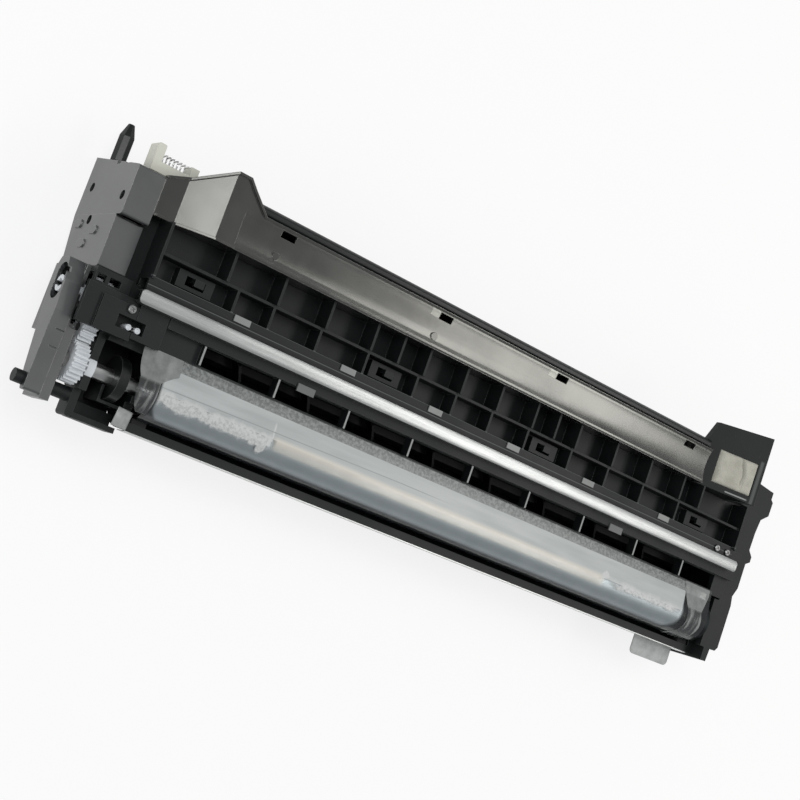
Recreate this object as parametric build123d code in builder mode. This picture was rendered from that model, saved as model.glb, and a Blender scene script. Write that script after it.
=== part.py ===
"""Developer unit of an A3 printer or copier, lying on its underside.

X runs along the roller, Y from the roller (front) to the connector side (rear), Z up.
The sizes below are measured from the middle of the roller (X), its axis (Y) and the underside (Z).
The finished pieces are moved so that the origin is the bottom centre of the whole unit.
All sizes are in millimetres.
"""
import math
import os

from build123d import *

# Developing roller
ROLLER_R = 10.0
ROLLER_LEN = 306.0
ROLLER_Z = 30.0
SLEEVE_WALL = 0.8
FLANGE_LEN = 8.0
SHAFT_R = 3.0
MAGNET_GAP = 0.6
MAGNET_INSET = 10.0
MAGNET_PIN_R = 2.0
MAGNET_PIN_LEN = 4.5
PIN_POCKET = 5.0

# Fits, and the sides of small stubs
RUN_GAP = 0.05
FREE_GAP = 0.3
STUB_SIDES = 8

# Gears, all of one module
MODULE = 0.6
ADDENDUM = 0.5
DEDENDUM = 0.75
TOOTH_AT_PITCH = 0.76
FLANK_SLOPE = 0.36
ROLLER_TEETH = 24
IDLER_TEETH = 16
COUPLING_TEETH = 22
AUGER_TEETH = 30
GEAR_SET_BACK = 31.6
GEAR_WIDTH = 5.4
GEAR_PIN_R = 1.5
COUPLING_R = 3.0
COUPLING_BACK = 0.4
DOG_SLOT = (1.6, 2.2)

# Augers
AUGER_R = 7.6
AUGER_GAP = 0.8
AUGER_SHAFT_R = 3.0
AUGER_SIDES = 6
JOURNAL_R = 2.0
PADDLE_TILT = 32.0
PADDLE_THICK = 1.2
PADDLE_PITCH = 33.0
PADDLE_CORNERS = 8

# Lower housing
CAVITY_GAP = 1.5
END_WALL = 3.5
TUB_WALL = 2.0
LIP_R = 15.5
LIP_WALL = 3.2
LIP_REAR_Y = -6.0
HOUSING_TOP = 34.0
TUB_REAR_Y = 58.5
PARTITION_TOP = 26.0
RIDGE_TOP = 21.0
RIDGE_Y = (8.0, 20.0)
SHOULDER_Y = 13.5
REAR_FOOT_Y = 75.5
REAR_TOP_Y = 72.0
REAR_TOP_Z = 38.0
REAR_WALL = 1.8
REAR_POCKETS = 6
POCKET_RIB = 3.0
PASSAGE_LEN = 20.0
PASSAGE_INSET = 4.0
SEAL_LEN = 6.0

# Ribbed top cover
COVER_BEYOND_LEFT = 19.0
COVER_SHORT_RIGHT = 3.5
COVER_FRONT_Y = 33.2
COVER_REAR_Y = 57.0
COVER_FLOOR = 2.0
RIB_TOP = 45.0
LOW_RIB_TOP = 43.6
RIB = 1.0
LEDGE_TOP = 43.5
LEDGE_PLATE = 1.3
LEDGE_FRONT_Y = 31.8
LEDGE_WALL_Y = 35.9
LONG_RIB_Y = 45.2
REAR_ROW = (-0.944, -0.797, -0.650, -0.507, -0.418, -0.330, -0.199, -0.069,
            0.065, 0.150, 0.235, 0.386, 0.533, 0.680, 0.768)
FRONT_ROW = (-0.902, -0.797, -0.654, -0.503, -0.337, -0.203,
             -0.072, 0.065, 0.235, 0.386, 0.536, 0.693)
LATCH_ROW = (-1.003, -0.422, 0.154, 0.810)
LATCH_SIZE = (15.0, 6.4)
LATCH_TOP = 40.0
LATCH_HOLE = (8.0, 3.4)
HOOK = 1.4
PAD_ROW = (-0.868, -0.545, -0.253, 0.031, 0.327, 0.651)
PAD_SIZE = (7.0, 2.4, 0.5)

# Rear channel cover with the ramp and the flare at its left end
CHANNEL_TOP = 47.5
CHANNEL_LOW = 40.0
RAMP_FOOT_IN = 8.5
RAMP_LEN = 13.1
FLARE_FLAT = 5.3
FLARE_CORNER = 3.1
FLARE_SLANT = 7.8
CHANNEL_SHORT_RIGHT = 41.0
CHANNEL_SKIN = 1.6
CHANNEL_REAR_Y = 73.0
FLARE_Y = 83.2
DISH_DEPTH = 1.1
DISH_WIDTH = 12.6
RIM = 0.9
VENT_ROW = (-0.841, -0.333, 0.098, 0.639)
VENT_SIZE = (6.4, 2.6)
VENT_Y = 70.3
BOSS_ROW = (-0.856, -0.350)
BOSS_Y = 61.8
BOSS_R = 1.6
BOSS_HEIGHT = 1.3
RAIL_DEPTH = 4.4
RAIL_TOP = 45.8
RAIL_IN = 28.0
RAIL_ROUND = 1.6

# Toner inlet cover at the right end
INLET_LEN = 31.0
INLET_SLOPE = 0.33
INLET_LOW = 43.0
INLET_PLATE = 2.4
INLET_WALL = 1.6
INLET_TAB_Y = 88.0
INLET_REAR_Y = 89.6
INLET_CORNER = (3.4, 9.0)
SPONGE_IN = 7.5
SPONGE_WIDTH = 20.0
SPONGE_FRONT_Y = 60.2
SPONGE_DEPTH = 15.6
SPONGE_THICK = 2.6
SPONGE_SEAT = 1.4
INLET_HOLE_INSET = 3.0
CUT_ROOM = 10.0

# Blade holder, blade and stay bar
HOLDER_FRONT_Y = 13.2
HOLDER_LIP_TOP = 38.4
HOLDER_STEP_Y = 22.6
HOLDER_TOP = 41.2
HOLDER_SKIN = 1.4
WINDOW_Y = (15.2, 22.4)
WINDOW_ROW = (-0.922, -0.706, -0.487, -0.275, -0.061, 0.155, 0.373, 0.599, 0.806, 0.974)
WINDOW_RIB = 0.8
WINDOW_RIB_TOP = 40.6
CLIP_ROW = (-0.631, 0.497)
CLIP_SIZE = (8.0, 3.0, 0.6)
CLIP_OVERLAP = 1.4
BLADE_GAP = 0.5
BLADE_REAR_Y = 15.0
BLADE_THICK = 1.2
BLADE_INSET = 3.0
BAR_Y = 28.9
BAR_WIDTH = 5.0
BAR_HEIGHT = 3.8
BAR_SHEET = 0.8
BAR_BEYOND_LEFT = 20.4
BAR_BEYOND_RIGHT = 0.6
BAR_CORNER = 1.5

# Film over the roller, pull tab and lip strip
FILM_GAP = 0.5
FILM_THICK = 0.25
FILM_REAR_Y = 14.6
FILM_BEYOND_LEFT = 1.2
FILM_SHORT_RIGHT = 3.0
FILM_END_DEG = 178.0
STRIP_THICK = 0.4
STRIP_HEIGHT = 6.0
TAB_IN = 27.5
TAB_WIDTH = 25.6
TAB_FRONT_Y = -24.6
TAB_THICK = 0.6
TAB_CORNER = 2.4

# Left side frame and its tray
FRAME_BEYOND = 25.0
FRAME_WALL = 3.0
FRAME_TOP = 34.0
FRAME_NOSE_Y = -8.0
FRAME_NOSE_Z = 22.0
FRAME_FOOT_Y = 8.0
FRAME_CORNER = 1.2
TRAY_FRONT_Y = -18.1
TRAY_WALL = 2.0
TRAY_TOP = 30.0
PIT_Y = (-11.6, 14.0)
PIT_Z = 18.6
TRAY_FLOOR = 2.4
POST_R = 2.6
POST_YZ = (-10.8, 27.4)
WHEEL_GUARD_TOP = 31.0
WHEEL_GUARD = 1.0
BUSH_R = 5.0

# Gear covers, drive cover and plates of the left end
END_DEPTH = 11.0
END_SKIN = 1.7
COVER_SPLIT_Y = 52.5
END_FRONT_Y = 33.0
END_FRONT_FLOOR = 5.2
END_REAR_TOP = 40.0
END_REAR_LEAN = 4.4
END_FRONT_TOP = 36.6
SIGHT_R = 1.8
EMBOSS = (6.0, 3.2, 0.5)
DRIVE_DEPTH = 8.0
DRIVE_SKIN = 1.5
DRIVE_INNER = 1.6
DRIVE_STRIP = 3.6
DRIVE_STRIP_Y = 10.0
DRIVE_STRIP_Z = (20.0, 35.0)
SLOT_LEN = 13.5
SLOT_WIDTH = 7.6
TOP_PLATE_TOP = 40.0
TOP_PLATE = 2.0
TOP_STEP = 1.0
TOP_STEP_IN = 6.2
PLATE_Y = (12.8, 27.4)
PLATE_STEP_Y = 25.0
PLATE_BEYOND_FRAME = 7.9
BRACKET_Y = (27.4, 33.0)
BRACKET_TOP = 38.6
BRACKET_UNDER = 36.6
BRACKET_LEG = 2.0
BRACKET_LEG_Z = 33.0
BRACKET_HOLE_Y = (28.4, 31.0)
BRACKET_HOLES = ((0.8, 4.2), (5.6, 10.0))
PIN_WINDOW = (10.8, 4.6)
PIN_WINDOW_IN = 1.2
PIN_WINDOW_Y = 16.0
BLOCK_FRONT_Y = 11.3
BLOCK_Y = (14.0, 31.4)
SEAL_PIN_R = 1.1
SEAL_PIN_LEN = 4.6
SEAL_PIN_Y = 17.4
SEAL_PINS_IN = (6.4, 10.0)

# Guide pin, peg and connector
PIN_R = 3.0
PIN_IN = 3.1
PIN_Z = 12.0
PIN_TIP_Y = 89.2
PIN_CONE = 5.0
PIN_SIDES = 8
PIN_TAPER = 18.0
PEG_R = 2.4
PEG_LEN = 3.6
PEG_Y = -11.6
PEG_Z = 31.6
CONNECTOR_BEYOND_FRAME = 5.0
CONNECTOR_LEN = 18.0
CONNECTOR_Y = 72.4
CONNECTOR_DEPTH = 4.0
CONNECTOR_Z = (28.4, 35.0)
POST_LEFT_Y = 82.6
POST_RIGHT_Y = 79.8
POST = 3.2
POST_ROUND = 0.7
CONTACT = 0.5
CONTACT_LEN = 3.0
CONTACTS = 7
CONTACT_PITCH = 1.5

# Right end
RIGHT_WALL_BEYOND = 12.0
RIGHT_BEYOND = 15.0
RIGHT_TOP = 37.0
RIGHT_SKIN = 1.0
RIGHT_LAP = 3.0
RIGHT_LAP_Y = (-10.3, 12.6)
RIGHT_MOST = 15.6
RIGHT_PLAN = ((3.5, -16.5), (4.0, -10.3), (7.5, -10.3), (9.0, -8.5), (9.0, 12.3), (8.0, 16.7), (10.0, 21.3),
              (10.0, 33.5), (12.6, 35.0), (12.6, 37.6), (9.8, 40.4), (10.0, 49.0), (11.0, 55.9), (15.4, 59.2),
              (RIGHT_MOST, 66.0), (14.0, 67.2), (14.0, 70.6))
SPACER_R = 8.2
COLLAR_R = 5.4
SPACER_WIDTH = 3.8
SPACER_BEYOND_LEFT = 13.8
COLLAR_BEYOND_RIGHT = 6.0
SCREW_HEAD_R = 1.6
SCREW_HEAD = 1.0
BAR_SCREWS_IN = (14.5, 7.2)
BAR_SCREW_Y = 33.6
PLATE_SCREW = (5.0, 23.6)

# Worked-out places along the unit
LEFT_END = -ROLLER_LEN / 2
RIGHT_END = ROLLER_LEN / 2
CAVITY_X = RIGHT_END + CAVITY_GAP
WALL_X = CAVITY_X + END_WALL
GEAR_X = LEFT_END - GEAR_SET_BACK
MAGNET_END = RIGHT_END - MAGNET_INSET
COVER_LEFT = LEFT_END - COVER_BEYOND_LEFT
COVER_RIGHT = RIGHT_END - COVER_SHORT_RIGHT
BAR_LEFT = LEFT_END - BAR_BEYOND_LEFT
BAR_RIGHT = RIGHT_END + BAR_BEYOND_RIGHT
FILM_LEFT = LEFT_END - FILM_BEYOND_LEFT
FILM_RIGHT = RIGHT_END - FILM_SHORT_RIGHT
TAB_LEFT = RIGHT_END - TAB_IN
FRAME_X = LEFT_END - FRAME_BEYOND
FRAME_OUT = FRAME_X + FRAME_WALL
END_X = FRAME_X - END_DEPTH
DRIVE_X = END_X - DRIVE_DEPTH
PLATE_X = END_X - DRIVE_INNER
BLOCK_X = FRAME_X + PLATE_BEYOND_FRAME
CHANNEL_LEFT = FRAME_X
RAMP_FOOT = CHANNEL_LEFT + RAMP_FOOT_IN
RAMP_HEAD = RAMP_FOOT + RAMP_LEN
FLARE_FROM = RAMP_HEAD + FLARE_FLAT
FLARE_END = FLARE_FROM + FLARE_CORNER + FLARE_SLANT
CHANNEL_RIGHT = RIGHT_END - CHANNEL_SHORT_RIGHT
RAIL_LEFT = CHANNEL_LEFT + RAIL_IN
INLET_LEFT = CHANNEL_RIGHT
INLET_RIGHT = INLET_LEFT + INLET_LEN
SPONGE_LEFT = INLET_LEFT + SPONGE_IN
PIN_X = END_X + PIN_IN
CONNECTOR_LEFT = FRAME_X - CONNECTOR_BEYOND_FRAME
CONNECTOR_RIGHT = CONNECTOR_LEFT + CONNECTOR_LEN
RIGHT_WALL_X = RIGHT_END + RIGHT_WALL_BEYOND
RIGHT_X = RIGHT_END + RIGHT_BEYOND

# Worked-out heights and depths
FLOOR_Z = HOUSING_TOP + COVER_FLOOR
AUGER_BORE = AUGER_R + AUGER_GAP
IDLER_Y = MODULE * (ROLLER_TEETH + IDLER_TEETH) / 2
COUPLING_Y = IDLER_Y + MODULE * (IDLER_TEETH + COUPLING_TEETH) / 2
SUPPLY_Y = COUPLING_Y
SUPPLY_Z = ROLLER_Z - MODULE * (COUPLING_TEETH + AUGER_TEETH) / 2
MIXING_Y = SUPPLY_Y + MODULE * AUGER_TEETH
MIXING_Z = SUPPLY_Z
AUGERS = ((SUPPLY_Y, SUPPLY_Z), (MIXING_Y, MIXING_Z))
BLADE_EDGE_Y = math.sqrt((ROLLER_R + BLADE_GAP) ** 2 - (FLOOR_Z - BLADE_THICK - ROLLER_Z) ** 2)
CENTRE_X = (DRIVE_X - PEG_LEN + WALL_X + RIGHT_MOST) / 2
CENTRE_Y = (TAB_FRONT_Y + INLET_REAR_Y) / 2

os.makedirs("parts", exist_ok=True)


def write(part, name):
    """Move a finished piece to the unit's own frame, label it and write its file."""
    placed = part.moved(Location((-CENTRE_X, -CENTRE_Y, 0)))
    placed.label = name
    export_step(placed, f"parts/{name}.step")


def yz(x, y=0.0, z=0.0):
    """A plane across the unit at x: local x is depth, local y is height."""
    return Plane(origin=(x, y, z), x_dir=(0, 1, 0), z_dir=(1, 0, 0))


def xz(y):
    """An upright plane along the unit at y, facing the rear."""
    return Plane(origin=(0, y, 0), x_dir=(1, 0, 0), z_dir=(0, -1, 0))


def xy(z):
    """A level plane at height z."""
    return Plane.XY.offset(z)


def outline(points):
    """A face from corner points, inside the sketch that calls it."""
    with BuildLine() as border:
        Polyline(*points, close=True)
    make_face(border.edges())


def span(low, high):
    """Middle and length of a stretch."""
    return (low + high) / 2, high - low


def along(row):
    """Places of a row of details, given as shares of the roller's half length from its middle."""
    return [share * RIGHT_END for share in row]


def box_between(x, y, z, mode=Mode.ADD):
    """A box given by its three stretches."""
    (cx, lx), (cy, ly), (cz, lz) = span(*x), span(*y), span(*z)
    with Locations((cx, cy, cz)):
        Box(lx, ly, lz, mode=mode)


def rod(x_from, x_to, radius, y=0.0, z=ROLLER_Z, mode=Mode.ADD):
    """A round bar along the unit."""
    with BuildSketch(yz(x_from, y, z)) as section:
        Circle(radius)
    extrude(section.sketch, amount=x_to - x_from, mode=mode)


def stub(x, y, z, radius, height):
    """A small upright prism of eight sides."""
    with BuildSketch(xy(z)) as section:
        with Locations((x, y)):
            RegularPolygon(radius, STUB_SIDES)
    extrude(section.sketch, amount=height)


# Gears
def gear_outline(teeth, turn):
    """Corner points of a gear's teeth, turned by an angle in degrees."""
    pitch_r = MODULE * teeth / 2
    step = 2 * math.pi / teeth
    flank = ((-DEDENDUM, 1), (ADDENDUM, 1), (ADDENDUM, -1), (-DEDENDUM, -1))
    points = []
    for tooth in range(teeth):
        middle = tooth * step + math.radians(turn)
        for height, side in flank:
            half = TOOTH_AT_PITCH / 2 - height * FLANK_SLOPE
            angle = middle - side * half / pitch_r
            radius = pitch_r + height
            points.append((radius * math.cos(angle), radius * math.sin(angle)))
    return points


def gear_disc(x, width, y, z, teeth, turn):
    """A toothed disc, inside the part that calls it."""
    with BuildSketch(yz(x, y, z)) as section:
        outline(gear_outline(teeth, turn))
    extrude(section.sketch, amount=width)


def mesh_turn(teeth, direction, driver_teeth, driver_turn):
    """Turn that puts a gap of this gear on the driver's tooth, seen along the line of centres."""
    driver_step = 360 / driver_teeth
    ahead = ((direction - driver_turn) / driver_step) % 1
    step = 360 / teeth
    return direction + 180 + ahead * step + step / 2


roller_turn = 0.0
idler_turn = mesh_turn(IDLER_TEETH, 0.0, ROLLER_TEETH, roller_turn)
coupling_turn = mesh_turn(COUPLING_TEETH, 0.0, IDLER_TEETH, idler_turn)
supply_turn = mesh_turn(AUGER_TEETH, -90.0, COUPLING_TEETH, coupling_turn)
mixing_turn = mesh_turn(AUGER_TEETH, 0.0, AUGER_TEETH, supply_turn)

# Developing sleeve: a thin aluminium tube
with BuildPart() as developing_sleeve:
    rod(LEFT_END, RIGHT_END, ROLLER_R)
    rod(LEFT_END, RIGHT_END, ROLLER_R - SLEEVE_WALL, mode=Mode.SUBTRACT)
write(developing_sleeve.part, "developing_sleeve")

# Left flange: plug in the sleeve, shaft through the bush, pocket for the magnet's pin
plug_in = LEFT_END + FLANGE_LEN
with BuildPart() as sleeve_flange_left:
    rod(LEFT_END, plug_in, ROLLER_R - SLEEVE_WALL)
    rod(GEAR_X + FREE_GAP, LEFT_END, SHAFT_R)
    rod(plug_in - PIN_POCKET, plug_in, MAGNET_PIN_R + RUN_GAP, mode=Mode.SUBTRACT)
write(sleeve_flange_left.part, "sleeve_flange_left")

# Right flange: a ring that turns on the magnet's fixed shaft
with BuildPart() as sleeve_flange_right:
    rod(RIGHT_END - FLANGE_LEN, RIGHT_END, ROLLER_R - SLEEVE_WALL)
    rod(RIGHT_END - FLANGE_LEN, RIGHT_END, SHAFT_R + RUN_GAP, mode=Mode.SUBTRACT)
write(sleeve_flange_right.part, "sleeve_flange_right")

# Magnet core: stands still inside the sleeve, held at its right end
magnet_r = ROLLER_R - SLEEVE_WALL - MAGNET_GAP
with BuildPart() as magnet_core:
    rod(-MAGNET_END, MAGNET_END, magnet_r)
    rod(MAGNET_END, RIGHT_X - FREE_GAP, SHAFT_R)
    rod(plug_in - MAGNET_PIN_LEN, -MAGNET_END, MAGNET_PIN_R)
write(magnet_core.part, "magnet_core")

# White gear on the left end of the roller's shaft
with BuildPart() as roller_gear:
    gear_disc(GEAR_X, GEAR_WIDTH, 0, ROLLER_Z, ROLLER_TEETH, roller_turn)
    rod(GEAR_X, GEAR_X + GEAR_WIDTH, SHAFT_R, mode=Mode.SUBTRACT)
write(roller_gear.part, "roller_gear")

# Spacer wheel on the left shaft and the smaller one under the right end cover
spacers = (("left", LEFT_END - SPACER_BEYOND_LEFT, SPACER_R), ("right", RIGHT_END + COLLAR_BEYOND_RIGHT, COLLAR_R))
for side, start, radius in spacers:
    with BuildPart() as spacer_wheel:
        rod(start, start + SPACER_WIDTH, radius)
        rod(start, start + SPACER_WIDTH, SHAFT_R + RUN_GAP, mode=Mode.SUBTRACT)
    write(spacer_wheel.part, f"spacer_wheel_{side}")

# Bush of the roller's shaft in the left side frame
with BuildPart() as roller_bush:
    rod(FRAME_X, FRAME_OUT, BUSH_R)
    rod(FRAME_X, FRAME_OUT, SHAFT_R + RUN_GAP, mode=Mode.SUBTRACT)
write(roller_bush.part, "roller_bush")


# Idler gear on its fixed pin
with BuildPart() as idler_gear:
    gear_disc(GEAR_X, GEAR_WIDTH, IDLER_Y, ROLLER_Z, IDLER_TEETH, idler_turn)
    rod(GEAR_X, GEAR_X + GEAR_WIDTH, GEAR_PIN_R + RUN_GAP, IDLER_Y, ROLLER_Z, mode=Mode.SUBTRACT)
write(idler_gear.part, "idler_gear")

# White drive coupling: its gear, its neck in the slot and the two drive teeth at its face
coupling_face = DRIVE_X + COUPLING_BACK
with BuildPart() as drive_coupling:
    gear_disc(GEAR_X, GEAR_WIDTH, COUPLING_Y, ROLLER_Z, COUPLING_TEETH, coupling_turn)
    rod(coupling_face, GEAR_X, COUPLING_R, COUPLING_Y, ROLLER_Z)
    rod(coupling_face, GEAR_X + GEAR_WIDTH, GEAR_PIN_R + RUN_GAP, COUPLING_Y, ROLLER_Z, mode=Mode.SUBTRACT)
    slot_width, slot_depth = DOG_SLOT
    with BuildSketch(yz(coupling_face, COUPLING_Y, ROLLER_Z)):
        Rectangle(slot_width, 3 * COUPLING_R)
    extrude(amount=slot_depth, mode=Mode.SUBTRACT)
write(drive_coupling.part, "drive_coupling")


# Augers: a shaft with tilted paddles and its gear
def paddle(tilt):
    """Corner points of a paddle that keeps a round outline when it is seen along the shaft."""
    step = 2 * math.pi / PADDLE_CORNERS
    stretch = AUGER_R * math.cos(PADDLE_THICK / AUGER_R * math.tan(tilt)) / math.cos(tilt)
    return [(stretch * math.cos(corner * step), AUGER_R * math.sin(corner * step))
            for corner in range(PADDLE_CORNERS)]


def auger(y, z, turn, lean):
    """One auger with paddles that lean to one side along its shaft."""
    tilt = math.radians(PADDLE_TILT) * lean
    normal = (math.cos(tilt), math.sin(tilt), 0)
    across = (-math.sin(tilt), math.cos(tilt), 0)
    count = int(2 * (CAVITY_X - AUGER_R) / PADDLE_PITCH)
    start = -(count - 1) * PADDLE_PITCH / 2
    core_x = CAVITY_X - FREE_GAP
    with BuildPart() as screw:
        with BuildSketch(yz(-core_x, y, z)):
            RegularPolygon(AUGER_SHAFT_R, AUGER_SIDES)
        extrude(amount=2 * core_x)
        for index in range(count):
            middle = start + index * PADDLE_PITCH
            with BuildSketch(Plane(origin=(middle, y, z), x_dir=across, z_dir=normal)) as blade:
                outline(paddle(tilt))
            extrude(blade.sketch, amount=PADDLE_THICK / 2, both=True)
        rod(GEAR_X, -core_x, JOURNAL_R, y, z)
        rod(core_x, WALL_X, JOURNAL_R, y, z)
        gear_disc(GEAR_X, GEAR_WIDTH, y, z, AUGER_TEETH, turn)
    return screw.part


write(auger(SUPPLY_Y, SUPPLY_Z, supply_turn, 1), "supply_auger")
write(auger(MIXING_Y, MIXING_Z, mixing_turn, -1), "mixing_auger")

# Lower housing: tub round the roller and augers, with the hollow foot under the rear channel
with BuildPart() as lower_housing:
    with BuildSketch(yz(-WALL_X)):
        with Locations((0, ROLLER_Z)):
            Circle(LIP_R)
        with Locations((0, ROLLER_Z + LIP_R / 2)):
            Rectangle(2 * LIP_R, LIP_R, mode=Mode.SUBTRACT)
        with Locations(*AUGERS):
            Circle(AUGER_BORE + TUB_WALL)
        outline([(LIP_REAR_Y, SUPPLY_Z), (TUB_REAR_Y, SUPPLY_Z), (TUB_REAR_Y, HOUSING_TOP),
                 (LIP_REAR_Y, HOUSING_TOP)])
        outline([(TUB_REAR_Y, 0), (REAR_FOOT_Y, 0), (REAR_TOP_Y, REAR_TOP_Z), (TUB_REAR_Y, REAR_TOP_Z)])
        outline([(MIXING_Y, SUPPLY_Z - AUGER_BORE - TUB_WALL), (TUB_REAR_Y, 0), (TUB_REAR_Y, SUPPLY_Z),
                 (MIXING_Y, SUPPLY_Z)])
    extrude(amount=2 * WALL_X)
    with BuildSketch(yz(-CAVITY_X)):
        with Locations((0, ROLLER_Z)):
            Circle(LIP_R - LIP_WALL)
        with Locations(*AUGERS):
            Circle(AUGER_BORE)
        over = HOUSING_TOP + CUT_ROOM
        ridge_front, ridge_rear = RIDGE_Y
        outline([(ridge_front, RIDGE_TOP), (ridge_rear, RIDGE_TOP), (ridge_rear, over), (ridge_front, over)])
        wall_front = SUPPLY_Y + AUGER_BORE
        wall_rear = MIXING_Y - AUGER_BORE
        far_y = MIXING_Y + AUGER_BORE
        outline([(SHOULDER_Y, SUPPLY_Z), (wall_front, SUPPLY_Z), (wall_front, over), (SHOULDER_Y, over)])
        outline([(wall_rear, SUPPLY_Z), (far_y, SUPPLY_Z), (far_y, over), (wall_rear, over)])
        outline([(wall_front - 1, PARTITION_TOP), (wall_rear + 1, PARTITION_TOP), (wall_rear + 1, over),
                 (wall_front - 1, over)])
    extrude(amount=2 * CAVITY_X, mode=Mode.SUBTRACT)
    pocket = (2 * WALL_X - (REAR_POCKETS + 1) * POCKET_RIB) / REAR_POCKETS
    for index in range(REAR_POCKETS):
        low_x = -WALL_X + POCKET_RIB + index * (pocket + POCKET_RIB)
        with BuildSketch(yz(low_x)):
            outline([(TUB_REAR_Y, -CUT_ROOM), (REAR_FOOT_Y - REAR_WALL, -CUT_ROOM), (REAR_FOOT_Y - REAR_WALL, 0),
                     (REAR_TOP_Y - REAR_WALL, REAR_TOP_Z - REAR_WALL), (TUB_REAR_Y, REAR_TOP_Z - REAR_WALL)])
        extrude(amount=pocket, mode=Mode.SUBTRACT)
    for end in (-1, 1):
        near_x = CAVITY_X - PASSAGE_INSET
        passage = sorted((end * (near_x - PASSAGE_LEN), end * near_x))
        box_between(passage, (wall_front - 1, wall_rear + 1), (SUPPLY_Z - 4, PARTITION_TOP + 1),
                    mode=Mode.SUBTRACT)
    for y, z in AUGERS:
        rod(-WALL_X, -CAVITY_X, JOURNAL_R + RUN_GAP, y, z, mode=Mode.SUBTRACT)
        rod(CAVITY_X, WALL_X, JOURNAL_R + RUN_GAP, y, z, mode=Mode.SUBTRACT)
    box_between((-WALL_X, WALL_X), (-SHAFT_R - FREE_GAP, SHAFT_R + FREE_GAP), (ROLLER_Z, over),
                mode=Mode.SUBTRACT)
    rod(-WALL_X, WALL_X, SHAFT_R + FREE_GAP, mode=Mode.SUBTRACT)
write(lower_housing.part, "lower_housing")

# Foam seals under the ends of the roller
for side, start in (("left", LEFT_END), ("right", RIGHT_END - SEAL_LEN)):
    with BuildPart() as side_seal:
        with BuildSketch(yz(start, 0, ROLLER_Z)):
            Circle(LIP_R - LIP_WALL)
            Circle(ROLLER_R + FREE_GAP, mode=Mode.SUBTRACT)
            with Locations((0, LIP_R / 2)):
                Rectangle(2 * LIP_R, LIP_R, mode=Mode.SUBTRACT)
        extrude(amount=SEAL_LEN)
        box_between((start, start + SEAL_LEN), (ridge_front, LIP_R), (RIDGE_TOP, ROLLER_Z), mode=Mode.SUBTRACT)
    write(side_seal.part, f"side_seal_{side}")


# Ribbed top cover
def latch(x):
    """A raised latch with its window and hook, inside the cover."""
    middle_y = (LEDGE_WALL_Y + RIB + LONG_RIB_Y) / 2
    length, depth = LATCH_SIZE
    with Locations((x, middle_y, (FLOOR_Z + LATCH_TOP) / 2)):
        Box(length, depth, LATCH_TOP - FLOOR_Z)
    hole_length, hole_depth = LATCH_HOLE
    with Locations((x, middle_y, (HOUSING_TOP + LATCH_TOP) / 2)):
        Box(hole_length, hole_depth, LATCH_TOP - HOUSING_TOP, mode=Mode.SUBTRACT)
    with Locations((x + 1, middle_y + hole_depth / 2 - HOOK / 2, (HOUSING_TOP + LATCH_TOP + HOOK) / 2)):
        Box(hole_length / 2, HOOK, LATCH_TOP - HOUSING_TOP + HOOK)
    with Locations((x + 1, middle_y + HOOK / 4, LATCH_TOP + HOOK / 2)):
        Box(hole_length / 2, hole_depth - HOOK / 2, HOOK)


with BuildPart() as top_cover:
    with BuildSketch(yz(COVER_LEFT)):
        outline([(COVER_FRONT_Y, HOUSING_TOP), (COVER_REAR_Y, HOUSING_TOP), (COVER_REAR_Y, FLOOR_Z),
                 (LEDGE_WALL_Y + RIB, FLOOR_Z), (LEDGE_WALL_Y + RIB, LEDGE_TOP), (LEDGE_FRONT_Y, LEDGE_TOP),
                 (LEDGE_FRONT_Y, LEDGE_TOP - LEDGE_PLATE), (LEDGE_WALL_Y, LEDGE_TOP - LEDGE_PLATE),
                 (LEDGE_WALL_Y, FLOOR_Z), (COVER_FRONT_Y, FLOOR_Z)])
    extrude(amount=COVER_RIGHT - COVER_LEFT)
    for x in along(REAR_ROW):
        box_between((x - RIB / 2, x + RIB / 2), (LONG_RIB_Y + RIB, COVER_REAR_Y), (FLOOR_Z, RIB_TOP))
    for x in along(FRONT_ROW):
        box_between((x - RIB / 2, x + RIB / 2), (LEDGE_WALL_Y + RIB, LONG_RIB_Y), (FLOOR_Z, LOW_RIB_TOP))
    box_between((COVER_LEFT + RIB, COVER_RIGHT - RIB), (LONG_RIB_Y, LONG_RIB_Y + RIB), (FLOOR_Z, LOW_RIB_TOP))
    for x in (COVER_LEFT, COVER_RIGHT - RIB):
        box_between((x, x + RIB), (LEDGE_WALL_Y, COVER_REAR_Y), (FLOOR_Z, RIB_TOP))
    for x in along(LATCH_ROW):
        latch(x)
write(top_cover.part, "top_cover")

# Light pads on the ledge
with BuildPart() as ledge_pads:
    for x in along(PAD_ROW):
        with Locations((x, (LEDGE_WALL_Y + RIB) - PAD_SIZE[1] / 2, LEDGE_TOP + PAD_SIZE[2] / 2)):
            Box(*PAD_SIZE)
write(ledge_pads.part, "ledge_pads")


# Rear channel cover
def channel_heights(lift, right):
    """Top line of the channel cover seen from the front, from left to right."""
    return [(CHANNEL_LEFT, CHANNEL_LOW + lift), (RAMP_FOOT, CHANNEL_LOW + lift),
            (RAMP_HEAD, CHANNEL_TOP + lift), (right, CHANNEL_TOP + lift)]


def channel_plan():
    """Plan of the channel cover, with the flare at its left end."""
    return [(CHANNEL_LEFT, COVER_REAR_Y), (CHANNEL_RIGHT, COVER_REAR_Y), (CHANNEL_RIGHT, CHANNEL_REAR_Y),
            (FLARE_END, CHANNEL_REAR_Y), (FLARE_FROM + FLARE_CORNER, FLARE_Y - FLARE_CORNER),
            (FLARE_FROM, FLARE_Y), (RAMP_HEAD, FLARE_Y), (RAMP_FOOT, CHANNEL_REAR_Y + 2.0),
            (CHANNEL_LEFT, CHANNEL_REAR_Y - 1.1)]


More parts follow.
